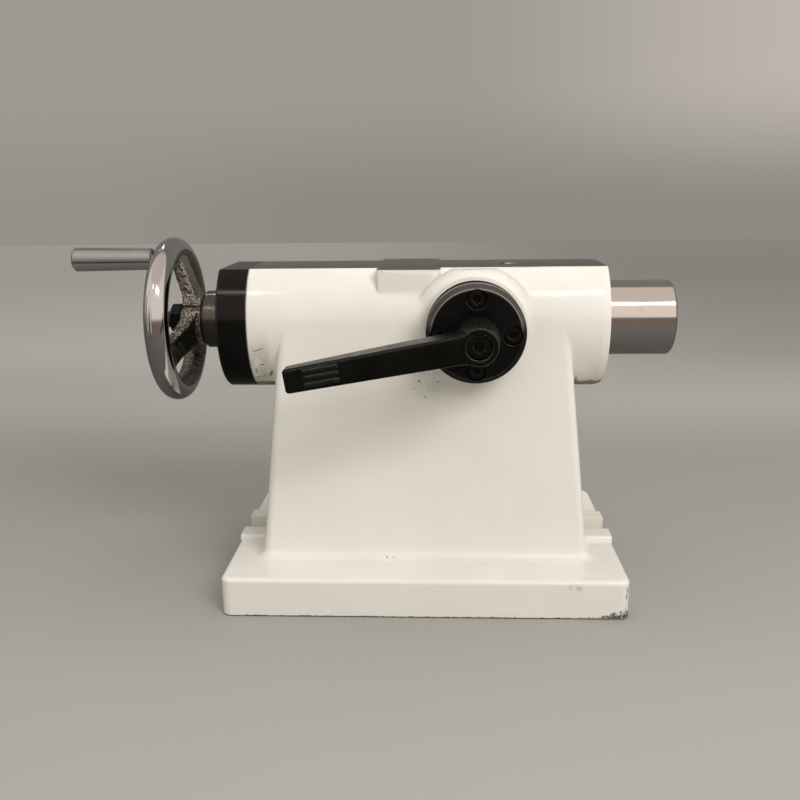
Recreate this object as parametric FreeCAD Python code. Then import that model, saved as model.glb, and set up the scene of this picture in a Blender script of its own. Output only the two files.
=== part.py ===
import FreeCAD, Part
import math
import os

# Tailstock with a hand-fed quill, for use opposite a rotary table.
# Frame: +X along the spindle axis towards the quill's nose, +Y away from the
# clamp lever, +Z up. The origin is on the base's underside, below the axis.
# All sizes are in millimetres.

os.makedirs("parts", exist_ok=True)
Vector = FreeCAD.Vector
AXIS_X = Vector(1, 0, 0)
AXIS_Y = Vector(0, 1, 0)
AXIS_Z = Vector(0, 0, 1)

# Spindle axis
centre_height = 160.0

# Base plate
base_length = 233.0
base_front = 80.0
base_back = 70.0
base_thickness = 23.0
base_corner = 6.0
base_edge_round = 2.5

# Column between base and barrel
foot_half_length = 97.0
foot_half_depth = 50.0
column_end_draft = 5.6
column_corner = 5.0
foot_fillet = 6.0

# Barrel with its machined top flat
barrel_radius = 41.0
barrel_length = 208.0
barrel_front = 106.0
flat_height = 33.0
barrel_end_length = 4.0
barrel_end_drop = 1.0

# Raised block across the top of the barrel
block_start = -26.5
block_length = 36.3
block_half_depth = 36.0
block_near_round = 1.2
block_far_round = 5.0

# Seats for the two holding-down bolts
bolt_slot_width = 18.0
bolt_centre = 95.0
bolt_pad_height = 2.6
bolt_pad_width = 45.0
bolt_pad_round = 2.0
bolt_pocket_radius = 17.5
bolt_pocket_height = 54.0
bolt_pocket_chamfer = 6.0

# Seats under the base for the two aligning keys
key_seat_width = 18.0
key_seat_length = 36.0
key_seat_depth = 6.0
key_seat_centre = 65.0
key_hole_radius = 2.5
key_hole_depth = 14.0

# Two cored hollows under the column, with a rib between them
core_rib = 14.0
core_length = 32.0
core_half_depth = 35.0
core_height = 112.0
core_draft = 3.0
core_corner = 7.0

# Quill
quill_radius = 22.5
quill_length = 178.0
quill_reach = 42.0
quill_in = 36.0
quill_out = 16.0
quill_edge = 1.2
taper_mouth_radius = 31.267 / 2
taper_ratio = 19.254
quill_bore_radius = 13.0
nut_seat_play = 0.5
slide_clearance = 0.03

# Guide screw that keeps the quill from turning
guide_place = 40.0
guide_slot_width = 8.0
guide_slot_depth = 4.5
guide_end_play = 1.0
guide_dog_play = 0.05
guide_tip_play = 0.5
guide_dog_tail = 1.0
guide_screw_radius = 4.0
guide_socket_flats = 4.0
guide_socket_depth = 4.0
guide_seat_cut = 1.2
guide_seat_radius = 10.0
guide_nut_flats = 13.0
guide_nut_thickness = 6.5
guide_screw_tail = 3.5

# Lead screw and its nut
screw_radius = 10.0
screw_end = 12.0
screw_end_chamfer = 2.0
screw_relief = 1.5
screw_collar_radius = 17.0
screw_collar = 6.0
journal_radius = 8.5
wheel_seat_radius = 7.0
wheel_seat_tail = 1.0
screw_stud_radius = 5.0
screw_stud_chamfer = 1.0
nut_body_radius = 16.0
nut_body_length = 24.0
nut_flange_radius = 21.5
nut_flange = 6.0
nut_screw_circle = 18.9
nut_screw_count = 3
run_clearance = 0.04

# Thrust bearings on both sides of the screw's collar
front_bearing_radius = 17.5
front_bearing_height = 10.0
rear_bearing_radius = 15.0
rear_bearing_height = 9.0
race_thickness = 3.0
race_groove = 0.4
cage_margin = 0.5
cage_gap = 0.4
ball_play = 0.1
front_ball_count = 8
rear_ball_count = 8
thrust_ring_thickness = 7.0
housing_radius = 27.0

# Rear cap
cap_thickness = 17.5
cap_recess = 5.0
cap_spigot = 2.5
cap_edge = 0.8
cap_room = 0.5
cap_screw_circle = 33.5
bush_radius = 11.0

# Handwheel
wheel_gap = 0.5
wheel_hub_length = 27.0
wheel_boss_radius = 17.5
wheel_boss_length = 13.5
wheel_boss_edge = 0.8
wheel_groove = 1.6
wheel_groove_depth = 1.8
wheel_hub_radius = 16.0
wheel_hub_nose_radius = 12.0
wheel_hub_nose_edge = 1.0
wheel_plane = 33.2
rim_radius = 43.0
rim_tube_radius = 7.0
spoke_count = 3
spoke_angle = -4.0
spoke_inner_width = 18.0
spoke_outer_width = 15.5
spoke_inner_thickness = 9.0
spoke_outer_thickness = 6.0
spoke_dish = 6.0
spoke_rim_offset = 1.0
spoke_bury = 3.0
spoke_round = 1.4
wheel_key_size = 5.0
wheel_key_length = 16.0
wheel_key_inset = 3.0
wheel_key_share = 0.6
wheel_washer_radius = 9.0
wheel_washer_thickness = 1.2
wheel_nut_flats = 16.5
wheel_nut_thickness = 7.8
stud_tail = 4.0

# Revolving handle on the rim
handle_angle = 25.8
handle_length = 47.0
handle_root_radius = 6.3
handle_end_radius = 7.0
handle_gap = 0.7
handle_edge = 1.2
handle_bore_play = 0.3
spindle_radius = 3.5
spindle_head_radius = 5.0
spindle_head = 2.5
spindle_head_sink = 0.8
spindle_collar_gap = 0.3
spindle_slot_width = 1.2
spindle_slot_depth = 1.0
spindle_thread_radius = 3.0
spindle_thread_length = 9.0
spindle_hole_tail = 0.5
rim_spot = 1.1
rim_spot_clearance = 0.9

# Quill clamp on the front
clamp_place = 29.3
clamp_boss_radius = 29.5
clamp_boss_face = 44.0
clamp_boss_flare = 6.0
flange_radius = 27.7
flange_thickness = 20.0
flange_bevel = 2.9
flange_bevel_length = 5.0
flange_edge = 0.5
flange_screw_circle = 19.7
flange_screw_sink = 1.5
clamp_pad_radius = 10.0
clamp_pad_length = 14.0
clamp_pad_gap = 0.35
clamp_thread_radius = 6.0
clamp_tip_gap = 0.4
clamp_tip_length = 2.0
clamp_tip_step = 1.5
clamp_neck_gap = 1.0
clamp_neck_radius = 9.0
lever_standoff = 13.0

# Clamp lever
lever_angle = -8.6
lever_hub_length = 21.5
lever_hub_back_radius = 12.2
lever_hub_front_radius = 10.0
lever_hub_edge = 0.4
lever_front_step = 0.5
lever_length = 99.0
lever_root_width = 15.3
lever_tip_width = 12.6
lever_root_thickness = 17.0
lever_tip_thickness = 9.5
lever_rise = 13.5
lever_neck_round = 16.0
lever_tip_round = 1.8
lever_edge_round = 1.0
lever_hex_flats = 12.0
lever_hex_length = 9.0
lever_hex_play = 0.5
lever_web = 3.0
grip_rib_count = 3
grip_rib_pitch = 3.5
grip_rib_length = 15.5
grip_rib_start = 11.0
grip_rib_radius = 0.8

# Ball oiler in the top flat
oiler_place = 50.5
oiler_radius = 5.0
oiler_length = 9.0
oiler_edge = 0.3
oiler_ball_radius = 2.2
oiler_ball_play = 0.15
oiler_ball_sink = 0.3
oiler_lip_share = 0.8
oiler_floor = 0.6
oiler_hole_radius = 1.5
spring_wire = 0.5
spring_turns = 4
spring_play = 0.05

# Wiper ring in the nose
wiper_width = 4.0
wiper_depth = 3.0
wiper_inset = 3.0

# Screws: thread radius, head radius, head height, socket flats
M4 = (2.0, 3.5, 4.0, 3.0)
M6 = (3.0, 5.0, 6.0, 5.0)
M8 = (4.0, 6.5, 8.0, 6.0)
screw_head_chamfer = 0.1
screw_socket_share = 0.55
thread_clearance = 0.03
head_clearance = 0.5
hole_tail = 3.0
cut_margin = 1.0
cap_screw_length = 26.0
flange_screw_length = 25.0
nut_screw_length = 14.0
lever_screw_length = 20.0

# Places along the axis that follow from the sizes above
barrel_rear = barrel_front - barrel_length
cap_rear = barrel_rear - cap_thickness
pad_top = base_thickness + bolt_pad_height
rear_bearing_start = barrel_rear - cap_recess
collar_start = rear_bearing_start + rear_bearing_height
collar_end = collar_start + screw_collar
front_bearing_end = collar_end + front_bearing_height
housing_end = front_bearing_end + thrust_ring_thickness
quill_nose = barrel_front + quill_reach
quill_tail = quill_nose - quill_length
hub_start = cap_rear - wheel_gap
hub_end = hub_start - wheel_hub_length
rim_plane = hub_start - wheel_plane
rim_face = rim_plane - rim_tube_radius + rim_spot
cap_screw_seat = cap_rear + M6[2] + head_clearance
flange_face = -clamp_boss_face - flange_thickness
flange_screw_seat = flange_face + M6[2] + flange_screw_sink
lever_back = flange_face - lever_standoff
lever_face = lever_back - lever_hub_length
lever_screw_seat = lever_back - lever_hex_length - lever_web
pad_contact = quill_radius + clamp_pad_gap


# Basic solids
def block(x0, x1, y0, y1, z0, z1):
    """A box between two corners."""
    return Part.makeBox(x1 - x0, y1 - y0, z1 - z0, Vector(x0, y0, z0))


def along_x(radius, start, end, y=0.0, z=centre_height):
    """A cylinder along X between two places."""
    return Part.makeCylinder(radius, end - start, Vector(start, y, z), AXIS_X)


def along_y(radius, start, end, x, z=centre_height):
    """A cylinder along Y between two places."""
    return Part.makeCylinder(radius, end - start, Vector(x, start, z), AXIS_Y)


def along_z(radius, start, end, x, y=0.0):
    """A cylinder along Z between two places."""
    return Part.makeCylinder(radius, end - start, Vector(x, y, start), AXIS_Z)


def turned(profile, origin=Vector(0, 0, centre_height), axis=AXIS_X, out=AXIS_Z):
    """Revolve points (distance along the axis, radius) about the axis."""
    points = [origin + axis * along + out * radius for along, radius in profile]
    outline = Part.makePolygon(points + points[:1])
    return Part.Face(outline).revolve(origin, axis, 360)


def rounded_rectangle(x0, x1, y0, y1, corner, z):
    """A closed outline with four corner arcs, at height z."""
    half = corner * (1 - math.sqrt(0.5))
    lines = [
        ((x0 + corner, y0), (x1 - corner, y0)),
        ((x1, y0 + corner), (x1, y1 - corner)),
        ((x1 - corner, y1), (x0 + corner, y1)),
        ((x0, y1 - corner), (x0, y0 + corner)),
    ]
    middles = [(x1 - half, y0 + half), (x1 - half, y1 - half), (x0 + half, y1 - half), (x0 + half, y0 + half)]
    edges = []
    for index, (start, end) in enumerate(lines):
        follower = lines[(index + 1) % 4][0]
        a, b = Vector(*start, z), Vector(*end, z)
        edges.append(Part.makeLine(a, b))
        edges.append(Part.Arc(b, Vector(*middles[index], z), Vector(*follower, z)).toShape())
    return Part.Wire(edges)


def drafted(lower, upper, corner):
    """A solid between two rectangles, each given as x0, x1, y0, y1, z, with its side edges rounded."""
    x0, x1, y0, y1, bottom = lower
    u0, u1, v0, v1, top = upper
    shape = Part.makeWedge(x0, bottom, -y1, -v1, u0, x1, top, -y0, -v0, u1)
    shape.rotate(Vector(0, 0, 0), AXIS_X, 90)
    sides = edges_where(shape, lambda box: box.ZLength > top - bottom - 0.01)
    return shape.makeFillet(corner, sides)


def hexagon(flats, centre, axis, length):
    """A hexagonal prism from a centre point along an axis."""
    radius = flats / math.sqrt(3)
    side = AXIS_Z if abs(axis.z) < 0.5 else AXIS_X
    other = axis.cross(side)
    points = []
    for corner in range(6):
        angle = math.radians(60 * corner)
        points.append(centre + side * (radius * math.cos(angle)) + other * (radius * math.sin(angle)))
    return Part.Face(Part.makePolygon(points + points[:1])).extrude(axis * length)


def socket_screw(size, length, seat, axis):
    """A socket-head screw whose head bears on seat; its thread runs along axis."""
    radius, head_radius, head_height, flats = size
    top = seat - axis * head_height
    head = Part.makeCylinder(head_radius, head_height, top, axis)
    rim = [edge for edge in head.Edges if (edge.BoundBox.Center - top).Length < 0.01]
    head = head.makeChamfer(head_height * screw_head_chamfer, rim)
    shank = Part.makeCylinder(radius, length, seat, axis)
    socket = hexagon(flats, top, axis, head_height * screw_socket_share)
    return head.fuse(shank).cut(socket).removeSplitter()


def edges_where(shape, test):
    """The edges whose bounding box passes a test."""
    return [edge for edge in shape.Edges if test(edge.BoundBox)]


def around_axis(radius, angle):
    """Y and Z of a point at an angle from straight up, turning towards the lever's side."""
    turn = math.radians(angle)
    return -radius * math.sin(turn), centre_height + radius * math.cos(turn)


def d_section(start, end):
    """The barrel's outline, a circle with a flat on top, between two places on X."""
    wide = barrel_radius + cut_margin
    above = block(start - cut_margin, end + cut_margin, -wide, wide, centre_height + flat_height, centre_height + wide)
    return along_x(barrel_radius, start, end).cut(above)


# The casting
def column_slope():
    """Lean of the column's front, so that it meets the barrel without a step."""
    rise = centre_height - base_thickness
    reach = math.hypot(foot_half_depth, rise)
    return math.acos(barrel_radius / reach) - math.atan2(rise, foot_half_depth)


def base_and_column():
    half = base_length / 2
    outline = rounded_rectangle(-half, half, -base_front, base_back, base_corner, 0)
    plate = Part.Face(outline).extrude(Vector(0, 0, base_thickness))
    rim = edges_where(plate, lambda box: box.ZMin > base_thickness - 0.01)
    plate = plate.makeFillet(base_edge_round, rim)
    slope = column_slope()
    top = centre_height + barrel_radius * math.sin(slope)
    top_depth = barrel_radius * math.cos(slope)
    top_length = foot_half_length - (top - base_thickness) * math.tan(math.radians(column_end_draft))
    lower = (-foot_half_length, foot_half_length, -foot_half_depth, foot_half_depth, base_thickness)
    upper = (-top_length, top_length, -top_depth, top_depth, top)
    joined = plate.fuse(drafted(lower, upper, column_corner)).removeSplitter()
    reach_x = foot_half_length + 0.5
    reach_y = foot_half_depth + 0.5
    foot = edges_where(joined, lambda box: abs(box.ZMin - base_thickness) < 0.01
                       and abs(box.ZMax - base_thickness) < 0.01
                       and max(box.XMax, -box.XMin) < reach_x and max(box.YMax, -box.YMin) < reach_y)
    return joined.makeFillet(foot_fillet, foot)


def top_block():
    """The wider block that crosses the barrel's top."""
    shape = block(block_start, block_start + block_length, -block_half_depth, block_half_depth,
                  centre_height, centre_height + flat_height)
    middle = block_start + block_length / 2
    near = edges_where(shape, lambda box: box.ZLength > flat_height - 0.01 and box.XMax < middle)
    shape = shape.makeFillet(block_near_round, near)
    far = edges_where(shape, lambda box: box.ZLength > flat_height - 0.01 and box.XMin > middle)
    return shape.makeFillet(block_far_round, far)


def barrel():
    """The barrel, slightly coned at its nose where the paint thins out."""
    shape = d_section(barrel_rear, barrel_front)
    tool = along_x(barrel_radius + cut_margin, barrel_front - barrel_end_length, barrel_front)
    cone = turned([(barrel_front - barrel_end_length, 0), (barrel_front - barrel_end_length, barrel_radius),
                   (barrel_front, barrel_radius - barrel_end_drop), (barrel_front, 0)])
    return shape.cut(tool.cut(cone)).fuse(top_block())


def clamp_boss():
    """The round seat of the clamp flange, flared where it grows out of the barrel."""
    root = -clamp_boss_face + clamp_boss_flare
    wide = clamp_boss_radius + clamp_boss_flare
    chord = clamp_boss_flare * math.sqrt(0.5)
    points = [(-clamp_boss_face, clamp_boss_radius), (-clamp_boss_face + chord, wide - chord), (root, wide),
              (root + clamp_boss_flare, wide)]
    start, middle, flare_end, back = [Vector(clamp_place, y, centre_height + r) for y, r in points]
    face = Vector(clamp_place, -clamp_boss_face, centre_height)
    rear = Vector(clamp_place, root + clamp_boss_flare, centre_height)
    outline = Part.Wire([Part.makeLine(face, start), Part.Arc(start, middle, flare_end).toShape(),
                         Part.makeLine(flare_end, back), Part.makeLine(back, rear), Part.makeLine(rear, face)])
    return Part.Face(outline).revolve(face, AXIS_Y, 360)


def bolt_pad(side):
    """A raised pad round one bolt slot; side is 1 at the nose and -1 at the wheel."""
    inner = bolt_centre - bolt_pocket_radius - base_corner
    outer = base_length / 2
    low, high = sorted((side * inner, side * outer))
    half = bolt_pad_width / 2
    shape = block(low, high, -half, half, base_thickness / 2, pad_top)
    top = edges_where(shape, lambda box: box.ZMin > pad_top - 0.01 and box.XLength > 1)
    return shape.makeFillet(bolt_pad_round, top)


def bolt_slot(side):
    """The open slot for one holding-down bolt."""
    radius = bolt_slot_width / 2
    far = base_length / 2 + cut_margin
    low, high = sorted((side * bolt_centre, side * far))
    slot = block(low, high, -radius, radius, -cut_margin, pad_top + cut_margin)
    return slot.fuse(along_z(radius, -cut_margin, pad_top + cut_margin, side * bolt_centre))


def bolt_pocket(side):
    """Room above the pad for the nut and washer, open at the base's end."""
    top = pad_top + bolt_pocket_height
    far = base_length / 2 + cut_margin
    low, high = sorted((side * bolt_centre, side * far))
    radius = bolt_pocket_radius
    shape = block(low, high, -radius, radius, pad_top, top)
    shape = shape.fuse(along_z(radius, pad_top, top, side * bolt_centre)).removeSplitter()
    roof = edges_where(shape, lambda box: box.ZMin > top - 0.01 and box.XLength > 1)
    return shape.makeChamfer(bolt_pocket_chamfer, roof)


def key_seat(side):
    """A milled seat under the base with a tapped hole for the key's screw."""
    radius = key_seat_width / 2
    centre = side * key_seat_centre
    reach = key_seat_length / 2 - radius
    shape = block(centre - reach, centre + reach, -radius, radius, -cut_margin, key_seat_depth)
    for place in (centre - reach, centre + reach):
        shape = shape.fuse(along_z(radius, -cut_margin, key_seat_depth, place))
    return shape.fuse(along_z(key_hole_radius, 0, key_seat_depth + key_hole_depth, centre))


def cored_hollow(side):
    """One of the two hollows below the barrel, open at the underside."""
    shrink = core_height * math.tan(math.radians(core_draft))
    near = core_rib / 2
    far = near + core_length
    lower = [side * near, side * far]
    upper = [side * (near + shrink / 2), side * (far - shrink)]
    lower.sort()
    upper.sort()
    return drafted((*lower, -core_half_depth, core_half_depth, -cut_margin),
                   (*upper, -core_half_depth + shrink, core_half_depth - shrink, core_height), core_corner)


def cap_screw_places():
    """Y and Z of the four screws of the rear cap."""
    return [around_axis(cap_screw_circle, 45 + 90 * step) for step in range(4)]


def flange_screw_places():
    """X and Z of the four screws of the clamp flange."""
    places = []
    for step in range(4):
        angle = math.radians(90 * step)
        places.append((clamp_place + flange_screw_circle * math.sin(angle),
                       centre_height + flange_screw_circle * math.cos(angle)))
    return places


def body_casting():
    shape = base_and_column().fuse(barrel())
    flat = centre_height + flat_height
    above = block(barrel_rear, barrel_front, -clamp_boss_face, clamp_boss_face, flat, flat + barrel_radius)
    shape = shape.fuse(clamp_boss().cut(above))
    for side in (1, -1):
        shape = shape.fuse(bolt_pad(side))
    shape = shape.removeSplitter()
    before = barrel_rear - cut_margin
    cuts = [along_x(quill_radius + slide_clearance, before, barrel_front + cut_margin)]
    cuts.append(along_x(housing_radius + thread_clearance, before, housing_end))
    cuts.append(along_x(barrel_radius + cap_room, cap_rear - cut_margin, barrel_rear))
    wiper_end = barrel_front - wiper_inset
    cuts.append(along_x(quill_radius + wiper_depth, wiper_end - wiper_width, wiper_end))
    for side in (1, -1):
        cuts += [bolt_slot(side), bolt_pocket(side), key_seat(side), cored_hollow(side)]
    for y, z in cap_screw_places():
        depth = cap_screw_seat + cap_screw_length + hole_tail
        cuts.append(along_x(M6[0] + thread_clearance, before, depth, y, z))
    face = -clamp_boss_face - cut_margin
    cuts.append(along_y(clamp_pad_radius + run_clearance, face, 0, clamp_place))
    for x, z in flange_screw_places():
        depth = flange_screw_seat + flange_screw_length + hole_tail
        cuts.append(along_y(M6[0] + thread_clearance, face, depth, x, z))
    cuts.append(along_z(oiler_radius + thread_clearance, flat - oiler_length, flat + cut_margin, oiler_place))
    cuts.append(along_z(oiler_hole_radius, centre_height, flat, oiler_place))
    seat = barrel_radius - guide_seat_cut
    cuts.append(along_y(guide_seat_radius, seat, foot_half_depth + cut_margin, guide_place))
    cuts.append(along_y(guide_screw_radius + thread_clearance, 0, seat + cut_margin, guide_place))
    for tool in cuts:
        shape = shape.cut(tool)
    return shape


# Rear cap and thrust bearings
def rear_cap():
    shape = d_section(cap_rear, barrel_rear)
    back = edges_where(shape, lambda box: box.XMax < cap_rear + 0.01)
    shape = shape.makeChamfer(cap_edge, back)
    shape = shape.fuse(along_x(housing_radius, barrel_rear, barrel_rear + cap_spigot))
    spigot_end = barrel_rear + cap_spigot
    outside = cap_rear - cut_margin
    cuts = [along_x(rear_bearing_radius + thread_clearance, rear_bearing_start, spigot_end + cut_margin)]
    cuts.append(along_x(bush_radius + thread_clearance, outside, rear_bearing_start + cut_margin))
    for y, z in cap_screw_places():
        cuts.append(along_x(M6[1] + head_clearance / 2, outside, cap_screw_seat, y, z))
        cuts.append(along_x(M6[0] + head_clearance / 2, cap_rear, barrel_rear + cut_margin, y, z))
    for tool in cuts:
        shape = shape.cut(tool)
    return shape


def rear_cap_screws():
    places = cap_screw_places()
    return [socket_screw(M6, cap_screw_length, Vector(cap_screw_seat, y, z), AXIS_X) for y, z in places]


def ring(outside, bore, start, end):
    """A plain ring on the spindle axis between two places on X."""
    return along_x(outside, start, end).cut(along_x(bore, start - cut_margin, end + cut_margin))


def cap_bush():
    return ring(bush_radius, journal_radius + run_clearance, cap_rear, rear_bearing_start)


def thrust_ring():
    return ring(housing_radius, screw_radius + head_clearance, front_bearing_end, housing_end)


def ball_radius(height):
    """Ball size of a thrust bearing of a given height."""
    return (height - 2 * race_thickness) / 2 + race_groove


def race(start, height, bore, outside, left):
    """One grooved race of a thrust bearing that starts at a place on X."""
    middle = start + height / 2
    path = (bore + outside) / 2
    low = start if left else start + height - race_thickness
    groove = Part.makeTorus(path, ball_radius(height) + ball_play, Vector(middle, 0, centre_height), AXIS_X)
    return ring(outside, bore + slide_clearance, low, low + race_thickness).cut(groove)


def ball_set(start, height, bore, outside, count):
    """The balls of a thrust bearing in their cage."""
    middle = start + height / 2
    path = (bore + outside) / 2
    radius = ball_radius(height)
    half_cage = height / 2 - race_thickness - cage_gap
    cage = ring(outside - cage_margin, bore + cage_margin, middle - half_cage, middle + half_cage)
    balls = []
    for step in range(count):
        y, z = around_axis(path, 360 * step / count)
        cage = cage.cut(along_x(radius + ball_play, middle - height, middle + height, y, z))
        balls.append(Part.makeSphere(radius, Vector(middle, y, z)))
    return [cage] + balls


# Lead screw, nut and handwheel
def lead_screw():
    stud_end = hub_end - wheel_washer_thickness - wheel_nut_thickness - stud_tail
    seat_end = hub_end + wheel_seat_tail
    relief = screw_radius - screw_relief
    profile = [
        (stud_end, 0), (stud_end, screw_stud_radius - screw_stud_chamfer),
        (stud_end + screw_stud_chamfer, screw_stud_radius), (seat_end, screw_stud_radius),
        (seat_end, wheel_seat_radius), (hub_start, wheel_seat_radius),
        (hub_start, journal_radius), (collar_start, journal_radius), (collar_start, screw_collar_radius),
        (collar_end, screw_collar_radius), (collar_end, relief), (housing_end, relief),
        (housing_end + screw_relief, screw_radius), (screw_end - screw_end_chamfer, screw_radius),
        (screw_end, screw_radius - screw_end_chamfer), (screw_end, 0),
    ]
    shape = turned(profile)
    return shape.cut(wheel_key_block(0.0))


def wheel_key_block(play):
    """The key between screw and wheel, grown by a play on its sides."""
    end = hub_start - wheel_key_inset
    half = wheel_key_size / 2 + play
    bottom = centre_height + wheel_seat_radius - wheel_key_size * wheel_key_share
    return block(end - wheel_key_length - play, end + play, -half, half, bottom, bottom + wheel_key_size + play)


def quill_nut():
    tail = quill_tail - nut_flange
    profile = [
        (tail, screw_radius + run_clearance), (tail, nut_flange_radius), (quill_tail, nut_flange_radius),
        (quill_tail, nut_body_radius), (quill_tail + nut_body_length, nut_body_radius),
        (quill_tail + nut_body_length, screw_radius + run_clearance),
    ]
    shape = turned(profile)
    for y, z in nut_screw_places():
        shape = shape.cut(along_x(M4[0] + head_clearance / 2, tail - cut_margin, quill_tail + cut_margin, y, z))
        shape = shape.cut(along_x(M4[1] + head_clearance / 4, tail - cut_margin, tail + M4[2], y, z))
    return shape


def nut_screw_places():
    """Y and Z of the screws that hold the nut in the quill's tail."""
    return [around_axis(nut_screw_circle, 360 * step / nut_screw_count) for step in range(nut_screw_count)]


def quill_nut_screws():
    seat = quill_tail - nut_flange + M4[2]
    return [socket_screw(M4, nut_screw_length, Vector(seat, y, z), AXIS_X) for y, z in nut_screw_places()]


def spoke(angle):
    """One dished web from the hub to the rim."""
    levels = []
    inner = (wheel_hub_nose_radius - spoke_bury, hub_end + spoke_dish, spoke_inner_width, spoke_inner_thickness)
    outer = (rim_radius - spoke_bury, rim_plane + spoke_rim_offset, spoke_outer_width, spoke_outer_thickness)
    for radius, place, width, thickness in (inner, outer):
        levels.append((place - thickness / 2, place + thickness / 2, -width / 2, width / 2, radius))
    web = drafted(*levels, spoke_round)
    web.rotate(Vector(0, 0, 0), AXIS_X, angle)
    web.translate(Vector(0, 0, centre_height))
    return web


def handwheel():
    boss_end = hub_start - wheel_boss_length
    groove_end = boss_end - wheel_groove
    nose_edge = wheel_hub_nose_edge
    profile = [
        (hub_start, 0), (hub_start, wheel_boss_radius - wheel_boss_edge),
        (hub_start - wheel_boss_edge, wheel_boss_radius),
        (boss_end, wheel_boss_radius), (boss_end, wheel_boss_radius - wheel_groove_depth),
        (groove_end, wheel_boss_radius - wheel_groove_depth), (groove_end, wheel_hub_radius),
        (hub_end + 2 * nose_edge, wheel_hub_nose_radius + nose_edge), (hub_end, wheel_hub_nose_radius), (hub_end, 0),
    ]
    shape = turned(profile)
    for step in range(spoke_count):
        shape = shape.fuse(spoke(spoke_angle + 360 * step / spoke_count))
    rim_centre = Vector(rim_plane, 0, centre_height)
    shape = shape.fuse(Part.makeTorus(rim_radius, rim_tube_radius, rim_centre, AXIS_X))
    y, z = around_axis(rim_radius, handle_angle)
    cuts = [along_x(wheel_seat_radius + thread_clearance, hub_end - cut_margin, hub_start + cut_margin)]
    cuts.append(wheel_key_block(thread_clearance))
    half_key = wheel_key_size / 2 + thread_clearance
    key_top = centre_height + wheel_seat_radius + wheel_key_size * (1 - wheel_key_share) + thread_clearance
    cuts.append(block(hub_end - cut_margin, hub_start - wheel_key_inset, -half_key, half_key,
                      centre_height, key_top))
    cuts.append(along_x(handle_root_radius + rim_spot_clearance, rim_face - rim_tube_radius, rim_face, y, z))
    hole_end = rim_face + spindle_thread_length + spindle_hole_tail
    cuts.append(along_x(spindle_thread_radius + thread_clearance, rim_face - cut_margin, hole_end, y, z))
    for tool in cuts:
        shape = shape.cut(tool)
    return shape


def wheel_washer():
    end = hub_end - wheel_washer_thickness
    return ring(wheel_washer_radius, screw_stud_radius + thread_clearance, end, hub_end)


def wheel_nut():
    start = hub_end - wheel_washer_thickness
    end = start - wheel_nut_thickness
    nut = hexagon(wheel_nut_flats, Vector(end, 0, centre_height), AXIS_X, wheel_nut_thickness)
    corner = wheel_nut_flats / math.sqrt(3)
    bevel = corner - wheel_nut_flats / 2
    cone = turned([(end, 0), (end, wheel_nut_flats / 2), (end + bevel / 2, corner), (start, corner), (start, 0)])
    bore = along_x(screw_stud_radius + thread_clearance, end - cut_margin, start + cut_margin)
    return nut.common(cone).cut(bore)


def handle_places():
    """Start and end of the grip along X."""
    start = rim_face - handle_gap
    return start, start - handle_length


def handle_spindle():
    y, z = around_axis(rim_radius, handle_angle)
    start, end = handle_places()
    collar_end = start + spindle_collar_gap
    head_end = end + spindle_head_sink
    thread_end = rim_face + spindle_thread_length
    profile = [
        (thread_end, 0), (thread_end, spindle_thread_radius), (rim_face, spindle_thread_radius),
        (rim_face, spindle_head_radius), (collar_end, spindle_head_radius), (collar_end, spindle_radius),
        (head_end + spindle_head, spindle_radius), (head_end + spindle_head, spindle_head_radius),
        (head_end, spindle_head_radius), (head_end, 0),
    ]
    shape = turned(profile, Vector(0, y, z))
    half = spindle_slot_width / 2
    slot = block(head_end - cut_margin, head_end + spindle_slot_depth, y - spindle_head_radius - cut_margin,
                 y + spindle_head_radius + cut_margin, z - half, z + half)
    return shape.cut(slot)


def handle_grip():
    y, z = around_axis(rim_radius, handle_angle)
    start, end = handle_places()
    bore = spindle_radius + run_clearance
    counter = spindle_head_radius + handle_bore_play
    shelf = end + spindle_head_sink + spindle_head + spindle_collar_gap
    profile = [
        (start, bore), (start, handle_root_radius - handle_edge / 2), (start - handle_edge / 2, handle_root_radius),
        (end + handle_edge, handle_end_radius), (end, handle_end_radius - handle_edge), (end, counter),
        (shelf, counter), (shelf, bore),
    ]
    return turned(profile, Vector(0, y, z))


# Quill and what guides it
def quill():
    taper_end = quill_nose - (taper_mouth_radius - quill_bore_radius) * 2 * taper_ratio
    nut_seat = quill_tail + nut_body_length + nut_seat_play
    profile = [
        (quill_tail, nut_body_radius + thread_clearance), (quill_tail, quill_radius - quill_edge),
        (quill_tail + quill_edge, quill_radius), (quill_nose - quill_edge, quill_radius),
        (quill_nose, quill_radius - quill_edge), (quill_nose, taper_mouth_radius),
        (taper_end, quill_bore_radius), (nut_seat, quill_bore_radius),
        (nut_seat, nut_body_radius + thread_clearance),
    ]
    shape = turned(profile)
    radius = guide_slot_width / 2
    first = guide_place - quill_out - guide_end_play
    last = guide_place + quill_in + guide_end_play
    bottom = quill_radius - guide_slot_depth
    outside = quill_radius + cut_margin
    slot = block(first, last, bottom, outside, centre_height - radius, centre_height + radius)
    for place in (first, last):
        slot = slot.fuse(along_y(radius, bottom, outside, place))
    shape = shape.cut(slot)
    reach = quill_tail - nut_flange + M4[2] + nut_screw_length + cut_margin
    for y, z in nut_screw_places():
        shape = shape.cut(along_x(M4[0] + thread_clearance, quill_tail - cut_margin, reach, y, z))
    return shape


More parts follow.
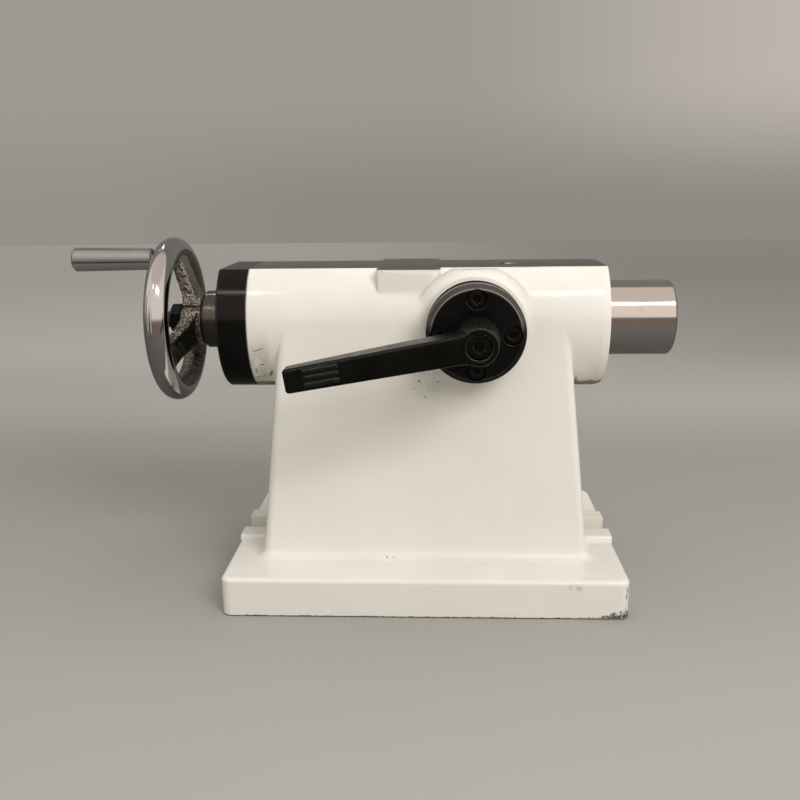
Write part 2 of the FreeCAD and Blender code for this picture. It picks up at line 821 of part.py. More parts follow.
def guide_screw():
    seat = barrel_radius - guide_seat_cut
    tip = quill_radius - guide_slot_depth + guide_tip_play
    dog = guide_slot_width / 2 - guide_dog_play
    dog_end = quill_radius + guide_dog_tail
    tail = seat + guide_nut_thickness + guide_screw_tail
    profile = [(tip, 0), (tip, dog), (dog_end, dog), (dog_end, guide_screw_radius), (tail, guide_screw_radius),
               (tail, 0)]
    shape = turned(profile, Vector(guide_place, 0, centre_height), AXIS_Y)
    socket = Vector(guide_place, tail - guide_socket_depth, centre_height)
    return shape.cut(hexagon(guide_socket_flats, socket, AXIS_Y, guide_socket_depth + cut_margin))


def guide_lock_nut():
    seat = barrel_radius - guide_seat_cut
    nut = hexagon(guide_nut_flats, Vector(guide_place, seat, centre_height), AXIS_Y, guide_nut_thickness)
    bore = along_y(guide_screw_radius + thread_clearance, seat - cut_margin, seat + guide_nut_thickness + cut_margin,
                   guide_place)
    return nut.cut(bore)


def nose_wiper():
    end = barrel_front - wiper_inset
    outside = quill_radius + wiper_depth - thread_clearance
    return ring(outside, quill_radius + slide_clearance, end - wiper_width, end)


# Quill clamp
def clamp_flange():
    back = -clamp_boss_face
    front_radius = flange_radius - flange_bevel
    profile = [(flange_face, 0), (flange_face, front_radius - flange_edge), (flange_face + flange_edge, front_radius),
               (flange_face + flange_bevel_length, flange_radius), (back, flange_radius), (back, 0)]
    shape = turned(profile, Vector(clamp_place, 0, centre_height), AXIS_Y)
    outside = flange_face - cut_margin
    cuts = [along_y(clamp_thread_radius + run_clearance, outside, back + cut_margin, clamp_place)]
    for x, z in flange_screw_places():
        cuts.append(along_y(M6[1] + head_clearance, outside, flange_screw_seat, x, z))
        cuts.append(along_y(M6[0] + head_clearance / 2, flange_face, back + cut_margin, x, z))
    for tool in cuts:
        shape = shape.cut(tool)
    return shape


def clamp_flange_screws():
    places = flange_screw_places()
    return [socket_screw(M6, flange_screw_length, Vector(x, flange_screw_seat, z), AXIS_Y) for x, z in places]


def clamp_pad():
    shape = along_y(clamp_pad_radius, -pad_contact - clamp_pad_length, 0, clamp_place)
    reach = clamp_pad_radius + cut_margin
    return shape.cut(along_x(pad_contact, clamp_place - reach, clamp_place + reach)).Solids[0]


def clamp_screw():
    tip = -pad_contact - clamp_pad_length - clamp_tip_gap
    tip_radius = clamp_thread_radius - clamp_tip_step
    neck = flange_face - clamp_neck_gap
    hex_end = lever_back - lever_hex_length + lever_hex_play
    profile = [
        (tip, 0), (tip, tip_radius), (tip - clamp_tip_length, tip_radius),
        (tip - clamp_tip_length - clamp_tip_step, clamp_thread_radius), (neck, clamp_thread_radius),
        (neck, clamp_neck_radius), (lever_back, clamp_neck_radius), (lever_back, 0),
    ]
    centre = Vector(clamp_place, 0, centre_height)
    shape = turned(profile, centre, AXIS_Y)
    drive = hexagon(lever_hex_flats, Vector(clamp_place, hex_end, centre_height), AXIS_Y, lever_back - hex_end)
    drive.rotate(centre, AXIS_Y, lever_angle)
    shape = shape.fuse(drive)
    depth = lever_screw_seat + lever_screw_length + cut_margin
    return shape.cut(along_y(M8[0] + thread_clearance, hex_end - cut_margin, depth, clamp_place))


def lever_outline():
    """The arm's outline, seen along the hub's axis: a tapered bar that flows into the hub's circle."""
    lean = math.atan2((lever_root_width - lever_tip_width) / 2, lever_length)
    along = Vector(math.cos(lean), 0, math.sin(lean))
    outward = Vector(-math.sin(lean), 0, math.cos(lean))
    corner = Vector(-lever_length, 0, lever_tip_width / 2)
    track = corner + outward * lever_neck_round
    half = track.dot(along)
    reach = lever_neck_round + lever_hub_front_radius
    centre = track - along * (half + math.sqrt(half ** 2 - track.dot(track) + reach ** 2))
    line_end = centre - outward * lever_neck_round
    hub_point = centre * (lever_hub_front_radius / reach)
    middle = centre + (line_end + hub_point - centre * 2).normalize() * lever_neck_round
    upper = [corner, line_end, middle, hub_point]
    lower = [Vector(point.x, 0, -point.z) for point in upper]
    hub_far = Vector(lever_hub_front_radius, 0, 0)
    edges = [
        Part.makeLine(upper[0], upper[1]), Part.Arc(*upper[1:]).toShape(),
        Part.Arc(upper[3], hub_far, lower[3]).toShape(),
        Part.Arc(lower[3], lower[2], lower[1]).toShape(), Part.makeLine(lower[1], lower[0]),
        Part.makeLine(lower[0], upper[0]),
    ]
    return Part.Face(Part.Wire(edges))


def lever_depth():
    """The arm's depth, seen from above: its front leans outwards and its back curves towards the tip."""
    slope = lever_rise / lever_length
    shrink = lever_root_thickness - lever_tip_thickness
    places = (lever_hub_front_radius + cut_margin, -lever_length / 2, -lever_length - cut_margin)
    front, back = [], []
    for x in places:
        y = lever_face + lever_front_step + slope * x
        front.append(Vector(x, y, -lever_hub_back_radius))
        back.append(Vector(x, y + lever_root_thickness - shrink * (x / lever_length) ** 2, -lever_hub_back_radius))
    edges = [
        Part.makeLine(front[2], front[0]), Part.makeLine(front[0], back[0]), Part.Arc(*back).toShape(),
        Part.makeLine(back[2], front[2]),
    ]
    return Part.Face(Part.Wire(edges))


def lever_arm():
    outline = lever_outline().extrude(AXIS_Y * -4 * lever_length)
    outline.translate(AXIS_Y * 2 * lever_length)
    arm = outline.common(lever_depth().extrude(AXIS_Z * 2 * lever_hub_back_radius))
    tip = edges_where(arm, lambda box: box.XMax < -lever_length + 0.01 and box.ZLength < 0.01)
    arm = arm.makeFillet(lever_tip_round, tip)
    sides = edges_where(arm, lambda box: box.XLength > lever_length / 2)
    return arm.makeFillet(lever_edge_round, sides)


def grip_rib(place):
    """One raised rib on the arm's front near the tip."""
    slope = lever_rise / lever_length
    front = lever_face + lever_front_step - lever_rise + slope * grip_rib_start
    start = Vector(-lever_length + grip_rib_start, front, place)
    line = Vector(grip_rib_length, slope * grip_rib_length, 0)
    shape = Part.makeCylinder(grip_rib_radius, line.Length, start, line)
    for point in (start, start + line):
        shape = shape.fuse(Part.makeSphere(grip_rib_radius, point))
    return shape


def clamp_lever():
    """The cast lever, made pointing along -X and then turned to its rest angle."""
    centre = Vector(0, 0, 0)
    hub = turned([(lever_face, 0), (lever_face, lever_hub_front_radius - lever_hub_edge),
                  (lever_face + lever_hub_edge, lever_hub_front_radius), (lever_back, lever_hub_back_radius),
                  (lever_back, 0)], centre, AXIS_Y)
    shape = hub.fuse(lever_arm())
    for step in range(grip_rib_count):
        shape = shape.fuse(grip_rib((step - (grip_rib_count - 1) / 2) * grip_rib_pitch))
    outside = Vector(0, lever_face - cut_margin, 0)
    web = Vector(0, lever_screw_seat - cut_margin, 0)
    hex_floor = Vector(0, lever_back - lever_hex_length, 0)
    cuts = [Part.makeCylinder(M8[1] + head_clearance / 2, lever_screw_seat - outside.y, outside, AXIS_Y)]
    cuts.append(Part.makeCylinder(M8[0] + head_clearance / 2, lever_web + 2 * cut_margin, web, AXIS_Y))
    cuts.append(hexagon(lever_hex_flats + 2 * thread_clearance, hex_floor, AXIS_Y, lever_hex_length + cut_margin))
    for tool in cuts:
        shape = shape.cut(tool)
    shape.rotate(centre, AXIS_Y, lever_angle)
    shape.translate(Vector(clamp_place, 0, centre_height))
    return shape


def lever_screw():
    return socket_screw(M8, lever_screw_length, Vector(clamp_place, lever_screw_seat, centre_height), AXIS_Y)


# Ball oiler
def oiler_levels():
    """Heights of the flat, the ball's centre and the spring's foot."""
    flat = centre_height + flat_height
    return flat, flat - oiler_ball_radius - oiler_ball_sink, flat - oiler_length + oiler_floor


def oiler_body():
    flat, ball, foot = oiler_levels()
    inside = oiler_ball_radius + oiler_ball_play
    lip = oiler_ball_radius * oiler_lip_share
    bottom = flat - oiler_length
    ledge = ball + math.sqrt(oiler_ball_radius ** 2 - lip ** 2)
    profile = [
        (bottom, oiler_hole_radius), (bottom, oiler_radius), (flat - oiler_edge, oiler_radius),
        (flat, oiler_radius - oiler_edge), (flat, inside + oiler_floor),
        (ledge + oiler_ball_play, lip + oiler_ball_play), (ledge - 2 * oiler_ball_play, inside), (foot, inside),
        (foot, oiler_hole_radius),
    ]
    return turned(profile, Vector(oiler_place, 0, 0), AXIS_Z, AXIS_X)


def oiler_ball():
    ball = oiler_levels()[1]
    return Part.makeSphere(oiler_ball_radius, Vector(oiler_place, 0, ball))


def oiler_spring():
    ball, foot = oiler_levels()[1:]
    radius = oiler_ball_radius - spring_wire
    half = spring_wire / 2
    drop = math.sqrt(oiler_ball_radius ** 2 - (radius - half) ** 2)
    height = ball - drop - foot - spring_wire - 2 * spring_play
    helix = Part.makeHelix(height / spring_turns, height, radius)
    signs = ((-1, -1), (1, -1), (1, 1), (-1, 1))
    corners = [Vector(radius + half * side, 0, half * rise) for side, rise in signs]
    profile = Part.makePolygon(corners + corners[:1])
    coil = Part.Wire(helix).makePipeShell([profile], True, True)
    coil.translate(Vector(oiler_place, 0, foot + half + spring_play))
    return coil


front_bearing = (collar_end, front_bearing_height, screw_radius, front_bearing_radius)
rear_bearing = (rear_bearing_start, rear_bearing_height, journal_radius, rear_bearing_radius)

pieces = {
    "body_casting": body_casting(),
    "rear_cap": rear_cap(),
    "rear_cap_screws": rear_cap_screws(),
    "cap_bush": cap_bush(),
    "thrust_ring": thrust_ring(),
    "front_race_fixed": race(*front_bearing, False),
    "front_race_turning": race(*front_bearing, True),
    "front_ball_set": ball_set(*front_bearing, front_ball_count),
    "rear_race_fixed": race(*rear_bearing, True),
    "rear_race_turning": race(*rear_bearing, False),
    "rear_ball_set": ball_set(*rear_bearing, rear_ball_count),
    "lead_screw": lead_screw(),
    "wheel_key": wheel_key_block(0.0),
    "handwheel": handwheel(),
    "wheel_washer": wheel_washer(),
    "wheel_nut": wheel_nut(),
    "handle_spindle": handle_spindle(),
    "handle_grip": handle_grip(),
    "quill": quill(),
    "quill_nut": quill_nut(),
    "quill_nut_screws": quill_nut_screws(),
    "guide_screw": guide_screw(),
    "guide_lock_nut": guide_lock_nut(),
    "nose_wiper": nose_wiper(),
    "clamp_flange": clamp_flange(),
    "clamp_flange_screws": clamp_flange_screws(),
    "clamp_screw": clamp_screw(),
    "clamp_pad": clamp_pad(),
    "clamp_lever": clamp_lever(),
    "lever_screw": lever_screw(),
    "oiler_body": oiler_body(),
    "oiler_ball": oiler_ball(),
    "oiler_spring": oiler_spring(),
}

for name, shape in pieces.items():
    if isinstance(shape, list):
        shape = Part.makeCompound(shape)
    shape.exportStep("parts/" + name + ".step")
    volumes = [round(solid.Volume, 1) for solid in shape.Solids]
    print(name, "valid" if shape.isValid() else "NOT VALID", len(shape.Solids), "solids", volumes[:3])
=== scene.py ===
import bmesh
import bpy
import math
import numpy as np
from mathutils import Matrix, Vector


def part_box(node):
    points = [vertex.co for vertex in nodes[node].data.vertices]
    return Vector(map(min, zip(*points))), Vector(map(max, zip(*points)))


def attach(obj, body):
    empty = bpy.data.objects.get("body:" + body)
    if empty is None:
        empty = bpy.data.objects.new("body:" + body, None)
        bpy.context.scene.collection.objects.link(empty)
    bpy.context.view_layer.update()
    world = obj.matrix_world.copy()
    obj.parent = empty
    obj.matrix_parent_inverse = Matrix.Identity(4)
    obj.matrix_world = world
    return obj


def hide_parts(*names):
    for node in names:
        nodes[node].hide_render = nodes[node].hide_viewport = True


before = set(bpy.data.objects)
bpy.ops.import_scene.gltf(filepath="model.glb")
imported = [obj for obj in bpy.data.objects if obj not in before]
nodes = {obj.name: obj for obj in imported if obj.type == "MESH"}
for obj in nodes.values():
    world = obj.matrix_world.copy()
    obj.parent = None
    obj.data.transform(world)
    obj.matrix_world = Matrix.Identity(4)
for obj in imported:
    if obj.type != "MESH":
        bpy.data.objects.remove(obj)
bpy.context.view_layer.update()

# Places read from the frame, in metres
quill_low, quill_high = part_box("quill")
casting_low, casting_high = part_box("body_casting")
wheel_low, wheel_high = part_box("handwheel")
flange_low, flange_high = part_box("clamp_flange")
grip_low, grip_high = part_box("handle_grip")
oiler_low, oiler_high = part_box("oiler_body")

AXIS_HEIGHT = (quill_low.z + quill_high.z) / 2
FLAT_HEIGHT = casting_high.z
BARREL_RADIUS = 0.041
BARREL_NOSE = 0.106
BARREL_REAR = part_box("rear_cap")[1].x - 0.0025
BASE_FRONT = casting_low.y
BASE_HALF = casting_high.x
BARREL_UNDERSIDE = AXIS_HEIGHT - BARREL_RADIUS
BLOCK_START = -0.0265
BLOCK_END = 0.0098
BLOCK_FRONT = -0.036
FLAT_HALF = math.sqrt(BARREL_RADIUS ** 2 - (FLAT_HEIGHT - AXIS_HEIGHT) ** 2)
OILER_PLACE = (oiler_low.x + oiler_high.x) / 2
RIM_TUBE = 0.007
RIM_RADIUS = (wheel_high.z - wheel_low.z) / 2 - RIM_TUBE
RIM_PLANE = wheel_low.x + RIM_TUBE
CLAMP_PLACE = (flange_low.x + flange_high.x) / 2
HUB_START = wheel_high.x
BOSS_END = HUB_START - 0.0135
GROOVE_END = BOSS_END - 0.0016
HUB_END = HUB_START - 0.027
BOSS_RADIUS = 0.0175
GROOVE_DEPTH = 0.0018
HUB_RADIUS = 0.016
HUB_NOSE_RADIUS = 0.012
SEAT_RADIUS = 0.007
SEAT_GAP = 0.00003
HANDLE_Y = (grip_low.y + grip_high.y) / 2
HANDLE_Z = (grip_low.z + grip_high.z) / 2
SPOT_RADIUS = 0.0072
SPOT_DEPTH = 0.0011

# The table nearer than this isn't mirrored in the object's gloss
TABLE_FRONT = -0.49

# The handwheel's spokes: how many, the first one's angle, and radius and place along the axis at both ends
SPOKE_COUNT = 3
SPOKE_ANGLE = math.radians(-4.0)
SPOKE_START = (0.009, HUB_END + 0.006)
SPOKE_END = (RIM_RADIUS - 0.002, RIM_PLANE + 0.001)
SPOKE_WIDTH = (0.018, 0.0155)
SPOKE_THICKNESS = (0.0088, 0.0080)
ROOT_SWELL = (0.0045, 0.0018)
TIP_SWELL = 0.0016

# Marks on the paint: centre across and up, and radius; or start, end and half width of a scratch
FRONT_SPECKS = [
    ((-0.0025, 0.1301), 0.00075),
    ((0.0084, 0.1295), 0.00075),
    ((-0.0054, 0.1255), 0.00055),
    ((0.0009, 0.1208), 0.00060),
    ((-0.0221, 0.0245), 0.00060),
    ((-0.0181, 0.0243), 0.00050),
]
BARREL_MARKS = [
    ((-0.0985, 0.1468), (-0.0925, 0.1490), 0.00045),
    ((-0.0990, 0.1355), (-0.0985, 0.1325), 0.00060),
    ((-0.0918, 0.1300), (-0.0893, 0.1340), 0.00110),
    ((-0.0962, 0.1290), (-0.0940, 0.1308), 0.00065),
    ((-0.1010, 0.1290), (-0.0970, 0.1292), 0.00040),
    ((0.0895, 0.1285), (0.0910, 0.1235), 0.00090),
    ((0.0925, 0.1240), (0.0945, 0.1262), 0.00050),
    ((0.0985, 0.1262), (0.1002, 0.1240), 0.00060),
]

# The camera, fitted to the photograph
CAMERA_PLACE = (0.00827, -0.52862, 0.24229)
CAMERA_PITCH = math.radians(14.25)
CAMERA_YAW = math.radians(-2.58)
CAMERA_ROLL = math.radians(-0.67)
FOCAL_PIXELS = 866.14
FRAME_PIXELS = 800
SENSOR = 36.0

# Colours as linear red, green and blue
PAINT = (0.83, 0.80, 0.735)
# painted highlight: lighter paint along the casting's rounded edges
PAINT_EDGE_HIGHLIGHT = (0.95, 0.93, 0.87)
# dark of dirt on the paint, also the colour of painted shade under the barrel's ends and below the clamp
# flange
PAINT_GRIME_AND_SHADE = (0.16, 0.15, 0.12)
BARE_IRON = (0.38, 0.367, 0.335)
BARE_IRON_DULL = (0.30, 0.275, 0.232)
RUST = (0.12, 0.065, 0.035)
# dark of chipped paint, also the colour of a painted shade along the block's left edge
CHIP_AND_SHADE_DARK = (0.020, 0.018, 0.015)
CAP_BLACK = (0.0020, 0.0020, 0.0019)
CAP_FLAT = (0.055, 0.053, 0.048)
COATING_BLACK = (0.0013, 0.0018, 0.0013)
OXIDE_BLACK = (0.0018, 0.0018, 0.0018)
WORN_EDGE = (0.34, 0.32, 0.28)
CHROME = (0.62, 0.63, 0.63)
HANDLE_CHROME = (0.41, 0.435, 0.43)
PLATED_CREST = (0.46, 0.44, 0.385)
PLATED_MIDDLE = (0.115, 0.107, 0.090)
PLATED_DARK = (0.030, 0.026, 0.019)
BOSS_STEEL = (0.105, 0.101, 0.088)
GROUND_STEEL = (0.72, 0.70, 0.67)
BRONZE = (0.52, 0.33, 0.15)
BRASS = (0.66, 0.50, 0.22)
BALL_STEEL = (0.72, 0.72, 0.71)
FELT = (0.075, 0.065, 0.05)
TABLE = (0.385, 0.377, 0.350)
# painted shade on the table round the object
TABLE_MIDDLE_SHADE = (0.298, 0.292, 0.270)
TABLE_BACK = (0.39, 0.38, 0.352)
# painted light on the table far back
TABLE_FAR_LIGHT = (0.46, 0.448, 0.415)
IRON_STRIPE = (0.40, 0.385, 0.35)
OILED_BRASS = (0.045, 0.036, 0.024)
# painted glint on the oiler's brass
BRASS_GLINT = (0.98, 0.92, 0.74)
BLACK = (0.0, 0.0, 0.0)
# painted light on the underside of the handle's steel
STEEL_REFLECTION_LIGHT = (1.0, 1.0, 0.98)
TABLE_LIGHT = (1.0, 0.98, 0.95)
WALL_UPPER = ((0.345, 0.325, 0.295), (0.52, 0.475, 0.42))
WALL_LOWER = ((0.295, 0.282, 0.255), (0.262, 0.250, 0.226))
LAMP_WARM = (1.0, 0.97, 0.94)
LAMP_TOP = (1.0, 0.98, 0.96)
SOFT_BOX = (0.95, 0.80, 0.72)
SOFT_BOX_HIGH = (0.72, 0.60, 0.545)
CAP_LINE = (26.0, 26.5, 25.5)
ROOM_BROWN = (0.20, 0.155, 0.125)
ROOM_GREY = (0.22, 0.21, 0.185)
ROOM_GLOW = (0.58, 0.565, 0.54)

# Black finishes: gloss levels, a painted highlight for upper front edges, and the clamp flange's conical
# band by its radius, with its painted sheen and painted highlight
BLACK_GLOSS = 0.20
DULL_BLACK = 0.85
BLACK_EDGE_HIGHLIGHT = (0.10, 0.097, 0.088)
CONE_START = 0.0250
CONE_SHEEN = (0.060, 0.054, 0.045)
CONE_HIGHLIGHT = (0.22, 0.215, 0.20)


# Shader node helpers
class Graph:
    """Adds shader nodes to one tree and links them."""

    def __init__(self, tree):
        self.tree = tree

    def add(self, kind, settings=(), inputs=()):
        """A node of a kind, with its settings and its inputs given as pairs."""
        node = self.tree.nodes.new(kind)
        for name, value in settings:
            setattr(node, name, value)
        for key, value in inputs:
            self.feed(node.inputs[key], value)
        return node

    def feed(self, socket, value):
        """Link a socket to another, or set its plain value."""
        if isinstance(value, bpy.types.NodeSocket):
            self.tree.links.new(value, socket)
        elif isinstance(value, tuple) and socket.type == "RGBA":
            socket.default_value = (*value, 1.0)
        else:
            socket.default_value = value

    def math(self, operation, first, second=0.0, third=0.0):
        """One Math node."""
        node = self.add("ShaderNodeMath", [("operation", operation)])
        for index, value in enumerate((first, second, third)):
            self.feed(node.inputs[index], value)
        return node.outputs[0]

    def plus(self, first, second):
        return self.math("ADD", first, second)

    def times(self, first, second):
        return self.math("MULTIPLY", first, second)

    def most(self, first, second):
        return self.math("MAXIMUM", first, second)

    def inverse(self, value):
        return self.math("SUBTRACT", 1.0, value)

    def step(self, value, start, end):
        """0 below start, 1 above end, smooth between; start may be the larger."""
        node = self.add("ShaderNodeMapRange", [("interpolation_type", "SMOOTHSTEP")])
        self.feed(node.inputs["Value"], value)
        self.feed(node.inputs["From Min"], start)
        self.feed(node.inputs["From Max"], end)
        return node.outputs["Result"]

    def between(self, value, low, high, soft):
        """1 where a value lies between low and high."""
        rise = self.step(value, low - soft, low + soft)
        fall = self.step(value, high + soft, high - soft)
        return self.times(rise, fall)

    def span(self, value, low, high):
        """A value from 0 to 1 carried to low to high."""
        node = self.add("ShaderNodeMapRange")
        self.feed(node.inputs["Value"], value)
        self.feed(node.inputs["To Min"], low)
        self.feed(node.inputs["To Max"], high)
        return node.outputs["Result"]

    def place(self):
        """Object coordinates, in metres."""
        return self.add("ShaderNodeTexCoord").outputs["Object"]

    def split(self, vector):
        node = self.add("ShaderNodeSeparateXYZ", inputs=[("Vector", vector)])
        return node.outputs["X"], node.outputs["Y"], node.outputs["Z"]

    def stretched(self, vector, scale):
        """A vector scaled along each axis."""
        node = self.add("ShaderNodeMapping", inputs=[("Vector", vector), ("Scale", scale)])
        return node.outputs["Vector"]

    def noise(self, vector, scale, detail=2.0, roughness=0.5):
        node = self.add("ShaderNodeTexNoise", inputs=[
            ("Vector", vector), ("Scale", scale), ("Detail", detail), ("Roughness", roughness)])
        return node.outputs["Fac"]

    def cells(self, vector, scale):
        """Distance to the nearest of scattered points, and the cell's random colour."""
        node = self.add("ShaderNodeTexVoronoi", inputs=[("Vector", vector), ("Scale", scale)])
        return node.outputs["Distance"], node.outputs["Color"]

    def mix(self, factor, first, second):
        """Colours mixed by a factor."""
        node = self.add("ShaderNodeMix", [("data_type", "RGBA")])
        self.feed(node.inputs["Factor"], factor)
        self.feed(node.inputs[6], first)
        self.feed(node.inputs[7], second)
        return node.outputs[2]

    def blend(self, factor, first, second):
        """Numbers mixed by a factor."""
        node = self.add("ShaderNodeMix", [("data_type", "FLOAT")])
        self.feed(node.inputs["Factor"], factor)
        self.feed(node.inputs[2], first)
        self.feed(node.inputs[3], second)
        return node.outputs[0]

    def reach(self, y, z, centre_z):
        """Distance from an axis along X at a height."""
        rise = self.math("SUBTRACT", z, centre_z)
        return self.math("SQRT", self.plus(self.times(y, y), self.times(rise, rise)))

    def distance(self, vector, point):
        node = self.add("ShaderNodeVectorMath", [("operation", "DISTANCE")])
        self.feed(node.inputs[0], vector)
        self.feed(node.inputs[1], point)
        return node.outputs["Value"]

    def spot(self, first, second, centre, radius, ragged=0.0):
        """1 within a radius of a centre in a plane of two coordinates, with an uneven border."""
        aside = self.math("SUBTRACT", first, centre[0])
        rise = self.math("SUBTRACT", second, centre[1])
        away = self.math("SQRT", self.plus(self.times(aside, aside), self.times(rise, rise)))
        return self.step(self.plus(away, ragged), radius, radius * 0.55)

    def stroke(self, first, second, start, end, width, ragged=0.0):
        """1 along a short scratch between two points of a plane of two coordinates."""
        length = math.dist(start, end)
        ahead = ((end[0] - start[0]) / length, (end[1] - start[1]) / length)
        aside = self.math("SUBTRACT", first, start[0])
        rise = self.math("SUBTRACT", second, start[1])
        along = self.plus(self.times(aside, ahead[0]), self.times(rise, ahead[1]))
        turned = self.math("SUBTRACT", self.times(aside, ahead[1]), self.times(rise, ahead[0]))
        off = self.plus(self.math("ABSOLUTE", turned), ragged)
        return self.times(self.between(along, 0.0, length, width), self.step(off, width, width * 0.4))

    def any_of(self, *masks):
        """The largest of several masks."""
        largest = masks[0]
        for mask in masks[1:]:
            largest = self.most(largest, mask)
        return largest

    def bump(self, height, depth, under=None):
        """A normal from a height between 0 and 1 and its depth in metres."""
        node = self.add("ShaderNodeBump", inputs=[("Height", height), ("Distance", depth)])
        if under is not None:
            self.feed(node.inputs["Normal"], under)
        return node.outputs["Normal"]

    def soft_edges(self, radius):
        """Normals rounded over edges, as paint and wear leave them."""
        return self.add("ShaderNodeBevel", [("samples", 6)], [("Radius", radius)]).outputs["Normal"]

    def group(self, tree, *values):
        """A node group placed with its inputs in order."""
        node = self.add("ShaderNodeGroup", [("node_tree", tree)])
        for index, value in enumerate(values):
            self.feed(node.inputs[index], value)
        return node.outputs

    def finish(self, base, roughness, metallic=0.0, normal=None, **plain):
        """The Principled shader at the end of a material."""
        shader = self.add("ShaderNodeBsdfPrincipled", inputs=[
            ("Base Color", base), ("Roughness", roughness), ("Metallic", metallic)])
        for name, value in plain.items():
            self.feed(shader.inputs[name.replace("_", " ")], value)
        if normal is not None:
            self.feed(shader.inputs["Normal"], normal)
        output = self.add("ShaderNodeOutputMaterial")
        self.tree.links.new(shader.outputs[0], output.inputs["Surface"])


def new_material(name):
    material = bpy.data.materials.new(name)
    material.use_nodes = True
    material.node_tree.nodes.clear()
    return material, Graph(material.node_tree)


def new_group(name, size, usual, result):
    """A shader node group that takes a place and one size and gives one value, and its two end nodes."""
    tree = bpy.data.node_groups.new(name, "ShaderNodeTree")
    tree.interface.new_socket("Place", in_out="INPUT", socket_type="NodeSocketVector")
    tree.interface.new_socket(size, in_out="INPUT", socket_type="NodeSocketFloat").default_value = usual
    tree.interface.new_socket(result, in_out="OUTPUT", socket_type="NodeSocketFloat")
    graph = Graph(tree)
    return tree, graph, graph.add("NodeGroupInput").outputs, graph.add("NodeGroupOutput").inputs


def scaled(colour, *shares):
    """A colour with each channel times its share."""
    return tuple(channel * share for channel, share in zip(colour, shares))


# Effects that several finishes share
def cast_grain_group():
    """Lumps and pits of a cast surface: two sizes of noise and scattered round pits."""
    tree, g, start, end = new_group("cast_grain", "Size", 0.001, "Height")
    scale = g.math("DIVIDE", 1.0, start["Size"])
    lumps = g.noise(start["Place"], scale, 3.0, 0.6)
    coarse = g.noise(start["Place"], g.times(scale, 0.35), 2.0)
    pits = g.step(g.cells(start["Place"], g.times(scale, 0.8))[0], 0.34, 0.12)
    height = g.plus(g.times(lumps, 0.6), g.times(coarse, 0.4))
    g.feed(end["Height"], g.math("SUBTRACT", height, g.times(pits, 0.25)))
    return tree


def machining_lines_group():
    """Fine parallel tool lines: noise squeezed along one direction of the given place."""
    tree, g, start, end = new_group("machining_lines", "Pitch", 0.0003, "Height")
    scale = g.math("DIVIDE", 1.0, start["Pitch"])
    fine = g.noise(start["Place"], scale, 2.0, 0.7)
    broad = g.noise(start["Place"], g.times(scale, 0.22), 1.0)
    g.feed(end["Height"], g.plus(g.times(fine, 0.65), g.times(broad, 0.35)))
    return tree


def handling_group():
    """Smudges and dust from handling, as one value from 0 to 1."""
    tree, g, start, end = new_group("handling_marks", "Size", 0.03, "Smudge")
    scale = g.math("DIVIDE", 1.0, start["Size"])
    broad = g.noise(start["Place"], scale, 4.0, 0.62)
    fine = g.noise(start["Place"], g.times(scale, 9.0), 3.0, 0.7)
    g.feed(end["Smudge"], g.step(g.plus(g.times(broad, 0.75), g.times(fine, 0.25)), 0.36, 0.66))
    return tree


def edge_wear_group():
    """A mask of edges: where the rounded normal leaves the surface's own one."""
    tree, g, start, end = new_group("edge_wear", "Reach", 0.0006, "Mask")
    rounded = g.add("ShaderNodeBevel", [("samples", 6)], [("Radius", start["Reach"])]).outputs["Normal"]
    own = g.add("ShaderNodeNewGeometry").outputs["Normal"]
    node = g.add("ShaderNodeVectorMath", [("operation", "DOT_PRODUCT")])
    g.feed(node.inputs[0], rounded)
    g.feed(node.inputs[1], own)
    edge = g.inverse(node.outputs["Value"])
    broken = g.noise(start["Place"], 900.0, 3.0, 0.7)
    g.feed(end["Mask"], g.times(g.step(edge, 0.008, 0.065), g.step(broken, 0.34, 0.52)))
    return tree


CAST_GRAIN = cast_grain_group()
MACHINING_LINES = machining_lines_group()
HANDLING = handling_group()
EDGE_WEAR = edge_wear_group()


# The casting's paint
def casting_bare_mask(g, place, ragged):
    """1 where the casting is machined bare: top flat, ends, bores, underside and seats."""
    x, y, z = g.split(place)
    reach = g.reach(y, z, AXIS_HEIGHT)
    beside_block = g.inverse(g.between(x, BLOCK_START, BLOCK_END, 0.0001))
    overlap = g.blend(g.step(x, 0.058, 0.075), 0.0007, 0.0050)
    paint_edge = g.plus(-FLAT_HALF, g.times(g.times(overlap, ragged), beside_block))
    paint_edge = g.plus(paint_edge, g.times(g.inverse(beside_block), BLOCK_FRONT + FLAT_HALF))
    crumbs = g.times(g.step(ragged, 0.55, 0.75), 0.00030)
    top = g.times(g.step(g.plus(z, crumbs), FLAT_HEIGHT - 0.00022, FLAT_HEIGHT - 0.00012),
                  g.step(g.math("SUBTRACT", y, paint_edge), -0.0001, 0.0001))
    rear = g.step(x, BARREL_REAR + 0.0005, BARREL_REAR + 0.0002)
    nose = g.times(g.step(x, BARREL_NOSE - 0.0003, BARREL_NOSE - 0.0001), g.step(reach, 0.0392, 0.0388))
    bore = g.times(g.step(reach, 0.0273, 0.0271), g.step(g.math("ABSOLUTE", x), 0.110, 0.106))
    under = g.step(z, 0.0006, 0.0003)
    key_seats = g.times(g.step(z, 0.0064, 0.0061), g.step(g.math("ABSOLUTE", y), 0.0093, 0.0091))
    column = g.times(key_seats, g.between(g.math("ABSOLUTE", x), 0.045, 0.085, 0.001))
    return g.any_of(top, g.times(g.most(rear, bore), g.step(z, 0.115, 0.117)), nose, under, column)


